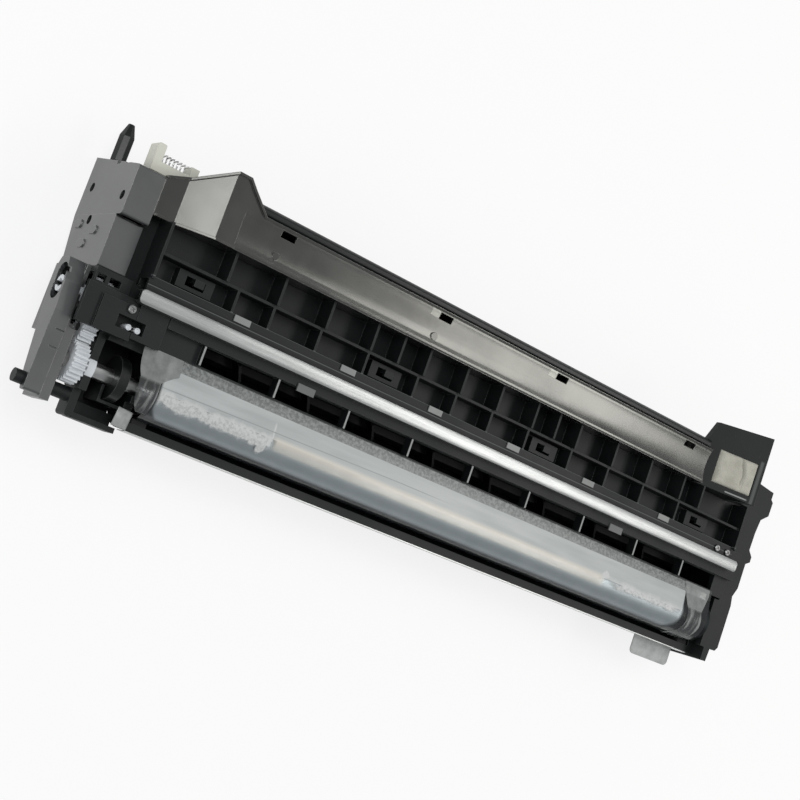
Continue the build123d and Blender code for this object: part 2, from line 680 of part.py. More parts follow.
with BuildPart() as channel_cover:
    with BuildSketch(xz(FLARE_Y)):
        outline(channel_heights(0, CHANNEL_RIGHT) + [(x, z) for x, z in
                reversed(channel_heights(-CHANNEL_SKIN, CHANNEL_RIGHT))])
    extrude(amount=FLARE_Y - COVER_REAR_Y)
    with BuildSketch(xz(TUB_REAR_Y)):
        outline(channel_heights(0, CHANNEL_RIGHT) + [(CHANNEL_RIGHT, HOUSING_TOP), (CHANNEL_LEFT, HOUSING_TOP)])
    extrude(amount=TUB_REAR_Y - COVER_REAR_Y)
    with BuildSketch(xz(CHANNEL_REAR_Y)):
        outline([(FLARE_END, REAR_TOP_Z), (FLARE_END, CHANNEL_TOP), (CHANNEL_RIGHT, CHANNEL_TOP),
                 (CHANNEL_RIGHT, REAR_TOP_Z)])
    extrude(amount=CHANNEL_REAR_Y - REAR_TOP_Y)
    with BuildSketch(xy(HOUSING_TOP)):
        outline(channel_plan())
    extrude(amount=CHANNEL_TOP - HOUSING_TOP + 1, mode=Mode.INTERSECT)
    with BuildPart(mode=Mode.PRIVATE) as rim_band:
        with BuildSketch(xy(HOUSING_TOP)):
            outline(channel_plan())
            offset(amount=-RIM, mode=Mode.SUBTRACT)
        extrude(amount=CHANNEL_TOP - HOUSING_TOP + 2)
        with BuildSketch(xz(FLARE_Y)):
            outline(channel_heights(RIM, CHANNEL_RIGHT - 0.01)
                    + [(x, z) for x, z in reversed(channel_heights(-0.2, CHANNEL_RIGHT - 0.01))])
        extrude(amount=FLARE_Y - COVER_REAR_Y, mode=Mode.INTERSECT)
        box_between((CHANNEL_LEFT - 1, CHANNEL_LEFT + RIM), (COVER_REAR_Y, CHANNEL_REAR_Y - 2),
                    (HOUSING_TOP, CHANNEL_TOP + 2), mode=Mode.SUBTRACT)
        box_between((CHANNEL_RIGHT - RIM, CHANNEL_RIGHT + 1), (COVER_REAR_Y + RIM, CHANNEL_REAR_Y - RIM),
                    (HOUSING_TOP, CHANNEL_TOP + 2), mode=Mode.SUBTRACT)
    add(rim_band.part)
    dish_r = DISH_WIDTH ** 2 / (8 * DISH_DEPTH) + DISH_DEPTH / 2
    middle_y = (COVER_REAR_Y + CHANNEL_REAR_Y) / 2
    rod(RAMP_HEAD + 8, CHANNEL_RIGHT + 1, dish_r, middle_y, CHANNEL_TOP - DISH_DEPTH + dish_r,
        mode=Mode.SUBTRACT)
    for x in along(VENT_ROW):
        with Locations((x, VENT_Y, CHANNEL_TOP - CHANNEL_SKIN / 2)):
            Box(*VENT_SIZE, CHANNEL_SKIN + 1, mode=Mode.SUBTRACT)
    for x in along(BOSS_ROW):
        stub(x, BOSS_Y, CHANNEL_TOP - CHANNEL_SKIN, BOSS_R, BOSS_HEIGHT)
write(channel_cover.part, "channel_cover")

# Rounded rail behind the channel
with BuildPart() as rear_rail:
    with BuildSketch(yz(RAIL_LEFT)):
        with Locations((CHANNEL_REAR_Y + RAIL_DEPTH / 2, (REAR_TOP_Z + RAIL_TOP) / 2)):
            RectangleRounded(RAIL_DEPTH, RAIL_TOP - REAR_TOP_Z, RAIL_ROUND)
    extrude(amount=CHANNEL_RIGHT - RAIL_LEFT)
write(rear_rail.part, "rear_rail")


# Toner inlet cover
def inlet_height(x):
    """Height of the sloping inlet plate at x."""
    return INLET_LOW + INLET_SLOPE * (x - INLET_LEFT)


slope_line = [(INLET_LEFT, inlet_height(INLET_LEFT)), (INLET_RIGHT, inlet_height(INLET_RIGHT))]
inlet_in = (INLET_LEFT + INLET_WALL, INLET_RIGHT - INLET_WALL)
corner_x, corner_y = INLET_CORNER
with BuildPart() as inlet_cover:
    with BuildSketch(xz(REAR_TOP_Y)):
        outline(slope_line + [(INLET_RIGHT, REAR_TOP_Z), (INLET_LEFT, REAR_TOP_Z)])
    extrude(amount=REAR_TOP_Y - COVER_REAR_Y)
    box_between((INLET_LEFT, INLET_RIGHT), (COVER_REAR_Y, TUB_REAR_Y), (HOUSING_TOP, REAR_TOP_Z))
    with BuildSketch(xz(REAR_TOP_Y - INLET_WALL)):
        outline([(inlet_in[0], REAR_TOP_Z)] + [(x, inlet_height(x) - INLET_PLATE) for x in inlet_in]
                + [(inlet_in[1], REAR_TOP_Z)])
    extrude(amount=REAR_TOP_Y - COVER_REAR_Y - 2 * INLET_WALL, mode=Mode.SUBTRACT)
    with BuildSketch(xz(INLET_REAR_Y)):
        outline(slope_line + [(x, z - INLET_PLATE) for x, z in reversed(slope_line)])
    extrude(amount=INLET_REAR_Y - COVER_REAR_Y)
    with BuildSketch(xy(HOUSING_TOP)):
        outline([(INLET_LEFT, COVER_REAR_Y), (INLET_RIGHT, COVER_REAR_Y), (INLET_RIGHT, INLET_REAR_Y),
                 (INLET_LEFT + corner_x, INLET_TAB_Y - 1.0), (INLET_LEFT, INLET_TAB_Y - 1.0 - corner_y)])
    extrude(amount=inlet_height(INLET_RIGHT) - HOUSING_TOP + CUT_ROOM, mode=Mode.INTERSECT)
    sponge_x = (SPONGE_LEFT, SPONGE_LEFT + SPONGE_WIDTH)
    seat = [(x, inlet_height(x) - SPONGE_SEAT) for x in sponge_x]
    with BuildSketch(xz(SPONGE_FRONT_Y + SPONGE_DEPTH)):
        outline(seat + [(x, z + CUT_ROOM) for x, z in reversed(seat)])
    extrude(amount=SPONGE_DEPTH, mode=Mode.SUBTRACT)
    hole_x = (SPONGE_LEFT + INLET_HOLE_INSET, SPONGE_LEFT + SPONGE_WIDTH - INLET_HOLE_INSET)
    hole_y = (SPONGE_FRONT_Y + INLET_HOLE_INSET, REAR_TOP_Y - INLET_WALL)
    box_between(hole_x, hole_y, (REAR_TOP_Z, inlet_height(INLET_RIGHT)), mode=Mode.SUBTRACT)
write(inlet_cover.part, "inlet_cover")

with BuildPart() as inlet_sponge:
    with BuildSketch(xz(SPONGE_FRONT_Y + SPONGE_DEPTH)):
        outline(seat + [(x, z + SPONGE_THICK) for x, z in reversed(seat)])
    extrude(amount=SPONGE_DEPTH)
write(inlet_sponge.part, "inlet_sponge")

# Blade holder: the strip under the stay bar and the row of windows in front of it
with BuildPart() as blade_holder:
    with BuildSketch(yz(-WALL_X)):
        outline([(HOLDER_FRONT_Y, FLOOR_Z), (LEDGE_WALL_Y, FLOOR_Z), (LEDGE_WALL_Y, LEDGE_TOP - LEDGE_PLATE),
                 (LEDGE_FRONT_Y, LEDGE_TOP - LEDGE_PLATE), (LEDGE_FRONT_Y, HOLDER_TOP),
                 (HOLDER_STEP_Y, HOLDER_TOP), (HOLDER_STEP_Y, HOLDER_LIP_TOP),
                 (HOLDER_FRONT_Y, HOLDER_LIP_TOP)])
    extrude(amount=2 * WALL_X)
    box_between((-CAVITY_X, CAVITY_X), (HOLDER_STEP_Y + HOLDER_SKIN, LEDGE_FRONT_Y - HOLDER_SKIN),
                (HOUSING_TOP, HOLDER_TOP - HOLDER_SKIN), mode=Mode.SUBTRACT)
    window_ribs = along(WINDOW_ROW)
    for left, right in zip(window_ribs, window_ribs[1:]):
        box_between((left + WINDOW_RIB / 2, right - WINDOW_RIB / 2), WINDOW_Y,
                    (HOUSING_TOP, HOLDER_TOP), mode=Mode.SUBTRACT)
    for x in window_ribs[:-1]:
        box_between((x - WINDOW_RIB / 2, x + WINDOW_RIB / 2), WINDOW_Y, (HOLDER_LIP_TOP, WINDOW_RIB_TOP))
    for end in (-1, 1):
        foot = sorted((end * (CAVITY_X + FREE_GAP), end * WALL_X))
        box_between(foot, (HOLDER_FRONT_Y, COVER_FRONT_Y), (HOUSING_TOP, FLOOR_Z))
write(blade_holder.part, "blade_holder")

with BuildPart() as holder_clips:
    for x in along(CLIP_ROW):
        with Locations((x, HOLDER_STEP_Y - CLIP_SIZE[1] / 2 + CLIP_OVERLAP, HOLDER_TOP + CLIP_SIZE[2] / 2)):
            Box(*CLIP_SIZE)
write(holder_clips.part, "holder_clips")

# Regulating blade: ground strip whose front edge trims the developer on the sleeve
with BuildPart() as regulating_blade:
    box_between((LEFT_END + BLADE_INSET, RIGHT_END - BLADE_INSET), (BLADE_EDGE_Y, BLADE_REAR_Y),
                (FLOOR_Z - BLADE_THICK, FLOOR_Z))
    chamfer(regulating_blade.edges().filter_by(Axis.X).group_by(Axis.Y)[0].sort_by(Axis.Z)[-1:], BLADE_THICK / 2)
write(regulating_blade.part, "regulating_blade")

# Stay bar: bright channel section, open side down
with BuildPart() as stay_bar:
    with BuildSketch(yz(BAR_LEFT)):
        with Locations((BAR_Y, HOLDER_TOP + BAR_HEIGHT / 2)):
            RectangleRounded(BAR_WIDTH, BAR_HEIGHT, BAR_CORNER)
        with Locations((BAR_Y, HOLDER_TOP + BAR_CORNER / 2)):
            Rectangle(BAR_WIDTH, BAR_CORNER)
        with Locations((BAR_Y, HOLDER_TOP + (BAR_HEIGHT - BAR_SHEET) / 2)):
            Rectangle(BAR_WIDTH - 2 * BAR_SHEET, BAR_HEIGHT - BAR_SHEET, mode=Mode.SUBTRACT)
    extrude(amount=BAR_RIGHT - BAR_LEFT)
    with BuildSketch(xy(HOLDER_TOP)):
        with Locations(((BAR_LEFT + BAR_RIGHT) / 2, BAR_Y)):
            RectangleRounded(BAR_RIGHT - BAR_LEFT, BAR_WIDTH, BAR_CORNER)
    extrude(amount=BAR_HEIGHT, mode=Mode.INTERSECT)
write(stay_bar.part, "stay_bar")

# Protective film: from the holder's lip over the roller and down its front
film_r = ROLLER_R + FILM_GAP
anchor_r = math.hypot(FILM_REAR_Y, HOLDER_LIP_TOP - ROLLER_Z)
anchor_deg = math.degrees(math.atan2(HOLDER_LIP_TOP - ROLLER_Z, FILM_REAR_Y))
touch_deg = anchor_deg + math.degrees(math.acos(film_r / anchor_r))


def on_roller(radius, degrees):
    """A point round the roller's axis, as depth and height."""
    angle = math.radians(degrees)
    return radius * math.cos(angle), ROLLER_Z + radius * math.sin(angle)


with BuildPart() as protective_film:
    with BuildSketch(yz(FILM_LEFT)):
        with BuildLine():
            inner_start = on_roller(film_r, touch_deg)
            inner_end = on_roller(film_r, FILM_END_DEG)
            middle_deg = (touch_deg + FILM_END_DEG) / 2
            outer_r = film_r + FILM_THICK
            Line((FILM_REAR_Y, HOLDER_LIP_TOP), inner_start)
            ThreePointArc(inner_start, on_roller(film_r, middle_deg), inner_end)
            Line(inner_end, on_roller(outer_r, FILM_END_DEG))
            ThreePointArc(on_roller(outer_r, FILM_END_DEG), on_roller(outer_r, middle_deg),
                          on_roller(outer_r, touch_deg))
            Line(on_roller(outer_r, touch_deg), (FILM_REAR_Y, HOLDER_LIP_TOP + FILM_THICK))
            Line((FILM_REAR_Y, HOLDER_LIP_TOP + FILM_THICK), (FILM_REAR_Y, HOLDER_LIP_TOP))
        make_face()
    extrude(amount=FILM_RIGHT - FILM_LEFT)
write(protective_film.part, "protective_film")

# Bright strip along the front lip
with BuildPart() as lip_strip:
    with BuildSketch(yz(-CAVITY_X, 0, ROLLER_Z)):
        with Locations((-LIP_R - STRIP_THICK / 2, -STRIP_HEIGHT / 2)):
            Rectangle(STRIP_THICK, STRIP_HEIGHT)
    extrude(amount=2 * CAVITY_X)
write(lip_strip.part, "lip_strip")

# Pull tab of the film, hooked under the strip at the right
with BuildPart() as pull_tab:
    with BuildSketch(xy(ROLLER_Z - STRIP_HEIGHT - TAB_THICK)) as tab_plan:
        with Locations((TAB_LEFT + TAB_WIDTH / 2, (TAB_FRONT_Y - LIP_R) / 2)):
            Rectangle(TAB_WIDTH, -LIP_R - TAB_FRONT_Y)
        fillet(tab_plan.vertices().group_by(Axis.Y)[0], TAB_CORNER)
    extrude(amount=TAB_THICK)
write(pull_tab.part, "pull_tab")

# Left side frame: shaft wall, the stepped tray under the spacer wheel and the wheel's guard
with BuildPart() as left_side_frame:
    with BuildSketch(yz(FRAME_X)):
        outline([(TRAY_FRONT_Y, FRAME_NOSE_Z), (FRAME_NOSE_Y, FRAME_NOSE_Z), (FRAME_FOOT_Y, 0), (REAR_TOP_Y, 0),
                 (REAR_TOP_Y, FRAME_TOP), (FRAME_NOSE_Y, FRAME_TOP), (FRAME_NOSE_Y, TRAY_TOP),
                 (TRAY_FRONT_Y, TRAY_TOP)])
    extrude(amount=FRAME_WALL)
    fillet(left_side_frame.edges().filter_by(Axis.Z).group_by(Axis.Y)[0], FRAME_CORNER)
    pit_front, pit_rear = PIT_Y
    with BuildSketch(yz(FRAME_OUT)):
        outline([(TRAY_FRONT_Y, FRAME_NOSE_Z), (TRAY_FRONT_Y, TRAY_TOP), (TRAY_FRONT_Y + TRAY_WALL, TRAY_TOP),
                 (TRAY_FRONT_Y + TRAY_WALL, FRAME_NOSE_Z + TRAY_WALL), (pit_front, FRAME_NOSE_Z + TRAY_WALL),
                 (pit_front, PIT_Z), (pit_rear, PIT_Z), (pit_rear, TRAY_FLOOR), (TUB_REAR_Y, TRAY_FLOOR),
                 (TUB_REAR_Y, 0), (pit_rear - TRAY_WALL, 0), (pit_rear - TRAY_WALL, PIT_Z - TRAY_WALL),
                 (pit_front - TRAY_WALL, PIT_Z - TRAY_WALL), (pit_front - TRAY_WALL, FRAME_NOSE_Z)])
        outline([(COVER_FRONT_Y, FRAME_TOP - TRAY_WALL), (COVER_FRONT_Y, FRAME_TOP), (TUB_REAR_Y, FRAME_TOP),
                 (TUB_REAR_Y, FRAME_TOP - TRAY_WALL)])
    extrude(amount=-WALL_X - FRAME_OUT)
    guard_x = LEFT_END - SPACER_BEYOND_LEFT - WHEEL_GUARD - RIB
    guard_y = -SPACER_R - FREE_GAP
    box_between((guard_x, guard_x + WHEEL_GUARD), (guard_y - WHEEL_GUARD, 1.0), (PIT_Z, WHEEL_GUARD_TOP))
    box_between((guard_x, -WALL_X), (guard_y - WHEEL_GUARD, guard_y), (PIT_Z, WHEEL_GUARD_TOP))
    shaft_room = SHAFT_R + FREE_GAP
    box_between((guard_x, guard_x + WHEEL_GUARD), (-shaft_room, shaft_room),
                (ROLLER_Z - shaft_room, WHEEL_GUARD_TOP), mode=Mode.SUBTRACT)
    rod(FRAME_X, FRAME_OUT, BUSH_R, mode=Mode.SUBTRACT)
    rod(END_X, FRAME_X, POST_R, *POST_YZ)
    for y, z in AUGERS:
        rod(FRAME_X, FRAME_OUT, JOURNAL_R + RUN_GAP, y, z, mode=Mode.SUBTRACT)
    for y in (IDLER_Y, COUPLING_Y):
        rod(GEAR_X - FREE_GAP, FRAME_X, GEAR_PIN_R, y, ROLLER_Z)
write(left_side_frame.part, "left_side_frame")


# Gear covers at the left end
def end_cover(profile, inner, holes):
    """A shell over the gears, open towards the side frame, with round sights in its face."""
    with BuildPart() as cover:
        with BuildSketch(yz(END_X)) as face:
            outline(profile)
            fillet(face.vertices().group_by(Axis.Y)[-1], 1.0)
        extrude(amount=FRAME_X - END_X)
        with BuildSketch(yz(END_X + END_SKIN)):
            outline(inner)
        extrude(amount=FRAME_X - END_X - END_SKIN, mode=Mode.SUBTRACT)
        for y, z, radius in holes:
            rod(END_X - 1, END_X + END_SKIN + 1, radius, y, z, mode=Mode.SUBTRACT)
    return cover.part


rear_in = REAR_FOOT_Y - REAR_WALL
rear_profile = [(COVER_SPLIT_Y, 0), (REAR_FOOT_Y, 0), (REAR_FOOT_Y - END_REAR_LEAN, END_REAR_TOP),
                (COVER_SPLIT_Y, END_REAR_TOP)]
rear_inner = [(COVER_SPLIT_Y, END_SKIN), (rear_in, END_SKIN), (rear_in - END_REAR_LEAN, END_REAR_TOP - END_SKIN),
              (COVER_SPLIT_Y, END_REAR_TOP - END_SKIN)]
rear_shell = end_cover(rear_profile, rear_inner, ((63.4, 6.2, SIGHT_R), (59.6, 35.0, SIGHT_R)))
with BuildPart() as gear_cover_rear:
    add(rear_shell)
    for z_low, z_high in ((20.0, 23.0), (27.5, 31.5)):
        box_between((END_X, END_X + END_SKIN), (REAR_TOP_Y, REAR_FOOT_Y), (z_low, z_high), mode=Mode.SUBTRACT)
write(gear_cover_rear.part, "gear_cover_rear")

front_profile = [(END_FRONT_Y, END_FRONT_FLOOR), (COVER_SPLIT_Y, 0), (COVER_SPLIT_Y, END_FRONT_TOP),
                 (END_FRONT_Y, END_FRONT_TOP)]
front_inner = [(END_FRONT_Y, END_FRONT_FLOOR + 1.4), (COVER_SPLIT_Y, 1.4), (COVER_SPLIT_Y, END_FRONT_TOP - END_SKIN),
               (END_FRONT_Y, END_FRONT_TOP - END_SKIN)]
with BuildPart() as gear_cover_front:
    add(end_cover(front_profile, front_inner, ((50.5, 14.7, SIGHT_R),)))
    emboss_length, emboss_width, emboss_proud = EMBOSS
    for y, z in ((49.0, 7.0), (46.5, 22.0), (41.4, 15.5)):
        with BuildSketch(yz(END_X, y, z)) as oval:
            Rectangle(emboss_width, emboss_length)
            chamfer(oval.vertices(), emboss_width / 3)
        extrude(amount=-emboss_proud)
write(gear_cover_front.part, "gear_cover_front")

# Drive cover: the plate at the far left with the slot for the coupling
drive_face = [(END_FRONT_Y, 25.0), (28.8, 22.5), (9.0, 25.4), (-7.0, 28.8), (-12.0, 30.2), (-15.4, 32.2),
              (-15.4, 34.8), (9.0, 35.6), (14.3, 36.0), (25.0, 34.6), (END_FRONT_Y, 31.5)]
with BuildPart() as drive_cover:
    with BuildSketch(yz(DRIVE_X)) as face:
        outline(drive_face)
        fillet(face.vertices().group_by(Axis.X)[0], FRAME_CORNER)
    extrude(amount=PLATE_X - DRIVE_X)
    with BuildSketch(yz(DRIVE_X + DRIVE_SKIN)):
        outline(drive_face)
        offset(amount=-DRIVE_SKIN)
    extrude(amount=PLATE_X - DRIVE_X - DRIVE_SKIN, mode=Mode.SUBTRACT)
    box_between((PLATE_X, END_X), (TRAY_FRONT_Y + TRAY_WALL + 1, END_FRONT_Y), (DRIVE_STRIP_Z[0], BRACKET_LEG_Z))
    box_between((PLATE_X, END_X), (FRAME_FOOT_Y, END_FRONT_Y), (END_FRONT_FLOOR, DRIVE_STRIP_Z[0]))
    box_between((PLATE_X, PLATE_X + DRIVE_STRIP), (TRAY_FRONT_Y + TRAY_WALL, DRIVE_STRIP_Y), DRIVE_STRIP_Z)
    box_between((END_X, FRAME_X), (END_FRONT_Y - BRACKET_LEG, END_FRONT_Y), (27.0, BRACKET_LEG_Z))
    with BuildSketch(yz(DRIVE_X, COUPLING_Y + 0.8, ROLLER_Z - 0.2)):
        SlotOverall(SLOT_LEN, SLOT_WIDTH)
    extrude(amount=DRIVE_SKIN, mode=Mode.SUBTRACT)
    rod(PLATE_X, END_X, COUPLING_R + FREE_GAP, COUPLING_Y, ROLLER_Z, mode=Mode.SUBTRACT)
    post_y, post_z = POST_YZ
    rod(END_X, PLATE_X + DRIVE_STRIP, POST_R + RUN_GAP, post_y, post_z, mode=Mode.SUBTRACT)
    for y in (1.4, 7.6):
        box_between((DRIVE_X + 2 * DRIVE_SKIN, PLATE_X), (y - 0.4, y + 0.4), (34.6, 37), mode=Mode.SUBTRACT)
write(drive_cover.part, "drive_cover")

# Locating peg on the drive cover
with BuildPart() as locating_peg:
    rod(DRIVE_X - PEG_LEN, DRIVE_X, PEG_R, PEG_Y, PEG_Z)
write(locating_peg.part, "locating_peg")

# Stepped plates over the idler and coupling gears
plate_front, plate_rear = PLATE_Y
window_len, window_depth = PIN_WINDOW
window_left = FRAME_X + PIN_WINDOW_IN
window_x = (window_left, window_left + window_len)
window_y = (PIN_WINDOW_Y, PIN_WINDOW_Y + window_depth)
with BuildPart() as gear_top_plate:
    box_between((PLATE_X, BLOCK_X), PLATE_Y, (TOP_PLATE_TOP - TOP_PLATE, TOP_PLATE_TOP))
    box_between((PLATE_X + TOP_STEP_IN, BLOCK_X), (plate_front, PLATE_STEP_Y),
                (TOP_PLATE_TOP, TOP_PLATE_TOP + TOP_STEP))
    box_between((FRAME_X, FRAME_OUT), PLATE_Y, (FRAME_TOP, TOP_PLATE_TOP - TOP_PLATE))
    box_between(window_x, window_y, (FLOOR_Z, TOP_PLATE_TOP + CUT_ROOM), mode=Mode.SUBTRACT)
write(gear_top_plate.part, "gear_top_plate")

# Bracket between the gear plates and the gear covers, with its windows
bracket_front, bracket_rear = BRACKET_Y
with BuildPart() as left_bracket:
    box_between((END_X, FRAME_OUT), BRACKET_Y, (BRACKET_UNDER, BRACKET_TOP))
    box_between((FRAME_X, FRAME_OUT), BRACKET_Y, (FRAME_TOP, BRACKET_UNDER))
    box_between((END_X, FRAME_X), (bracket_rear - BRACKET_LEG, bracket_rear), (BRACKET_LEG_Z, BRACKET_UNDER))
    for left, right in BRACKET_HOLES:
        box_between((END_X + left, END_X + right), BRACKET_HOLE_Y, (BRACKET_LEG_Z, BRACKET_TOP + 1),
                    mode=Mode.SUBTRACT)
write(left_bracket.part, "left_bracket")

# Block over the spacer wheel's chamber, with two white seal pins in its window
with BuildPart() as spacer_cover:
    box_between((FRAME_OUT, -WALL_X), (BLOCK_FRONT_Y, COVER_FRONT_Y - FREE_GAP), (FRAME_TOP, FLOOR_Z))
    box_between((BLOCK_X, -WALL_X - FREE_GAP), BLOCK_Y, (FLOOR_Z, HOLDER_TOP))
    box_between((BLOCK_X, window_x[1]), window_y, (FLOOR_Z, HOLDER_TOP), mode=Mode.SUBTRACT)
write(spacer_cover.part, "spacer_cover")

with BuildPart() as seal_pins:
    for inset in SEAL_PINS_IN:
        stub(FRAME_X + inset, SEAL_PIN_Y, FLOOR_Z, SEAL_PIN_R, SEAL_PIN_LEN)
write(seal_pins.part, "seal_pins")

# Guide pin: eight-sided, with a tapered tip
with BuildPart() as guide_pin:
    root_y = REAR_FOOT_Y - END_REAR_LEAN * (PIN_Z - PIN_R) / END_REAR_TOP
    with BuildSketch(xz(root_y)):
        with Locations((PIN_X, PIN_Z)):
            RegularPolygon(PIN_R, PIN_SIDES, major_radius=True)
    extrude(amount=-(PIN_TIP_Y - PIN_CONE - root_y))
    with BuildSketch(xz(PIN_TIP_Y - PIN_CONE)) as tip:
        with Locations((PIN_X, PIN_Z)):
            RegularPolygon(PIN_R, PIN_SIDES, major_radius=True)
    extrude(tip.sketch, amount=-PIN_CONE, taper=PIN_TAPER)
write(guide_pin.part, "guide_pin")

# Connector: ivory body between two posts, with bent contacts
body_rear = CONNECTOR_Y + CONNECTOR_DEPTH
with BuildPart() as connector_body:
    box_between((CONNECTOR_LEFT, CONNECTOR_RIGHT), (CONNECTOR_Y, body_rear), CONNECTOR_Z)
    box_between((CONNECTOR_LEFT, CONNECTOR_LEFT + POST), (body_rear, POST_LEFT_Y), CONNECTOR_Z)
    box_between((CONNECTOR_RIGHT - POST, CONNECTOR_RIGHT), (body_rear, POST_RIGHT_Y), CONNECTOR_Z)
    fillet(connector_body.edges().filter_by(Axis.Z).group_by(Axis.Y)[-1], POST_ROUND)
write(connector_body.part, "connector_body")

contact_row = (CONNECTOR_LEFT + CONNECTOR_RIGHT) / 2
contact_z = sum(CONNECTOR_Z) / 2
with BuildPart() as connector_pins:
    for index in range(CONTACTS):
        x = contact_row + (index - (CONTACTS - 1) / 2) * CONTACT_PITCH
        box_between((x - CONTACT / 2, x + CONTACT / 2), (body_rear, body_rear + CONTACT_LEN),
                    (contact_z, contact_z + CONTACT))
        box_between((x - CONTACT / 2, x + CONTACT / 2), (body_rear + CONTACT_LEN - CONTACT, body_rear + CONTACT_LEN),
                    (contact_z + CONTACT, CONNECTOR_Z[1]))
write(connector_pins.part, "connector_pins")

# Right end cover: stepped outline, pocket for the spacer wheel and the lap over the end wall
lap_front, lap_rear = RIGHT_LAP_Y
with BuildPart() as right_end_cover:
    with BuildSketch(xy(0)):
        outline([(WALL_X, RIGHT_PLAN[0][1])] + [(WALL_X + x, y) for x, y in RIGHT_PLAN] + [(WALL_X, REAR_TOP_Y)])
    extrude(amount=RIGHT_TOP)
    box_between((WALL_X - RIGHT_LAP, WALL_X), RIGHT_LAP_Y, (HOUSING_TOP, RIGHT_TOP))
    reach = COLLAR_R + FREE_GAP
    box_between((WALL_X, RIGHT_WALL_X), (-reach, reach), (ROLLER_Z - reach, RIGHT_TOP - RIGHT_SKIN),
                mode=Mode.SUBTRACT)
    box_between((WALL_X, RIGHT_WALL_X), (lap_rear, REAR_TOP_Y - FRAME_WALL), (FRAME_WALL, RIGHT_TOP - RIGHT_SKIN),
                mode=Mode.SUBTRACT)
    rod(RIGHT_WALL_X, RIGHT_X + CUT_ROOM, SHAFT_R, mode=Mode.SUBTRACT)
write(right_end_cover.part, "right_end_cover")

# Screws: two at the right end of the bar and one on the gear plate
plate_screw_in, plate_screw_y = PLATE_SCREW
screws = [(RIGHT_END - inset, BAR_SCREW_Y, LEDGE_TOP) for inset in BAR_SCREWS_IN]
screws.append((FRAME_X + plate_screw_in, plate_screw_y, TOP_PLATE_TOP + TOP_STEP))
with BuildPart() as cover_screws:
    for x, y, z in screws:
        stub(x, y, z, SCREW_HEAD_R, SCREW_HEAD)
write(cover_screws.part, "cover_screws")
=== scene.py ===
import math

import bmesh
import bpy
from mathutils import Matrix, Vector
from mathutils import noise as shape_noise


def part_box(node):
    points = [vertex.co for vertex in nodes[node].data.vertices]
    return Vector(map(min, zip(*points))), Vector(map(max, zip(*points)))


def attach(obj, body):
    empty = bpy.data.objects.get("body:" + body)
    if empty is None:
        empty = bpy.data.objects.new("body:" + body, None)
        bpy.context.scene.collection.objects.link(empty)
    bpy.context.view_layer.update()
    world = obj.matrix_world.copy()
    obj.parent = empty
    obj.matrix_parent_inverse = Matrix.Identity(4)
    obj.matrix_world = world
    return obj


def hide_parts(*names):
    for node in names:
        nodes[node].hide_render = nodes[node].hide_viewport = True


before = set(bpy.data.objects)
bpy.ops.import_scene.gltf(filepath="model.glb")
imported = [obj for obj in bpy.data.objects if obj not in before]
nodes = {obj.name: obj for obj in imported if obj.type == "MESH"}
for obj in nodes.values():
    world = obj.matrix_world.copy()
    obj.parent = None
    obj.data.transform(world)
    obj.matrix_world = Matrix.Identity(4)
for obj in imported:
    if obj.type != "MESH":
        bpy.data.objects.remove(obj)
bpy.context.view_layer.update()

MM = 0.001
# Places below are in millimetres from mid roller, the roller's axis and the underside, as in the solids.
MID_ROLLER_X = 13.5
ROLLER_AXIS_Y = -32.5
ROLLER_Z = 30.0


def place(x, y, z):
    """A point in millimetres from mid roller, as a point of the frame in metres."""
    return Vector((x + MID_ROLLER_X, y + ROLLER_AXIS_Y, z)) * MM


def colour(code):
    """Turns an sRGB hex code to the linear colour that a shader takes."""
    parts = [int(code[i:i + 2], 16) / 255 for i in (1, 3, 5)]
    linear = [c / 12.92 if c <= 0.04045 else ((c + 0.055) / 1.055) ** 2.4 for c in parts]
    return (*linear, 1.0)


def at_x(x):
    """A place along the roller in millimetres from its middle, as a finish reads it."""
    return x + MID_ROLLER_X


def at_y(y):
    """A depth behind the roller's axis in millimetres, as a finish reads it."""
    return y + ROLLER_AXIS_Y


def feed(tree, source, socket):
    """Gives an input a plain value, or links it to a socket or to the first output that a node shows."""
    if isinstance(source, bpy.types.Node):
        source = next(output for output in source.outputs if output.enabled)
    if isinstance(source, bpy.types.NodeSocket):
        tree.links.new(source, socket)
    else:
        socket.default_value = source


def add(tree, kind, links=None, **settings):
    """Adds a shader node with its settings; links gives each input a value, a socket or another node."""
    made = tree.nodes.new("ShaderNode" + kind)
    for name, value in settings.items():
        setattr(made, name, value)
    for name, source in (links or {}).items():
        feed(tree, source, made.inputs[name])
    return made


# Inputs that are given by number: Math takes its values at 0 and 1. MapRange takes the value at 0, its
# range at 1 and 2 and the new range at 3 and 4, which is 0 to 1 where it isn't given. Mix takes the share
# at 0 and the colours for shares of 0 and 1 at 6 and 7. A pattern's Scale is 1 over its grains' size in mm.


def finish_of(name, shader):
    """A new material with one Principled shader: itself, its tree, shader and place in millimetres."""
    material = bpy.data.materials.new(name)
    material.use_nodes = True
    tree = material.node_tree
    tree.nodes.clear()
    coords = add(tree, "TexCoord").outputs["Object"]
    in_mm = add(tree, "VectorMath", {0: coords, 1: (1 / MM, 1 / MM, 1 / MM)}, operation="MULTIPLY")
    surface = add(tree, "BsdfPrincipled", shader)
    add(tree, "OutputMaterial", {"Surface": surface})
    return material, tree, surface, in_mm.outputs[0]


def near_edges(tree, rounded):
    """1 where the rounded normal turns away from the face, 0 on the flat."""
    flat = add(tree, "NewGeometry").outputs["Normal"]
    turn = add(tree, "VectorMath", {0: rounded, 1: flat}, operation="DOT_PRODUCT").outputs["Value"]
    return add(tree, "MapRange", {0: turn, 1: 0.86, 2: 0.995, 3: 1.0, 4: 0.0})


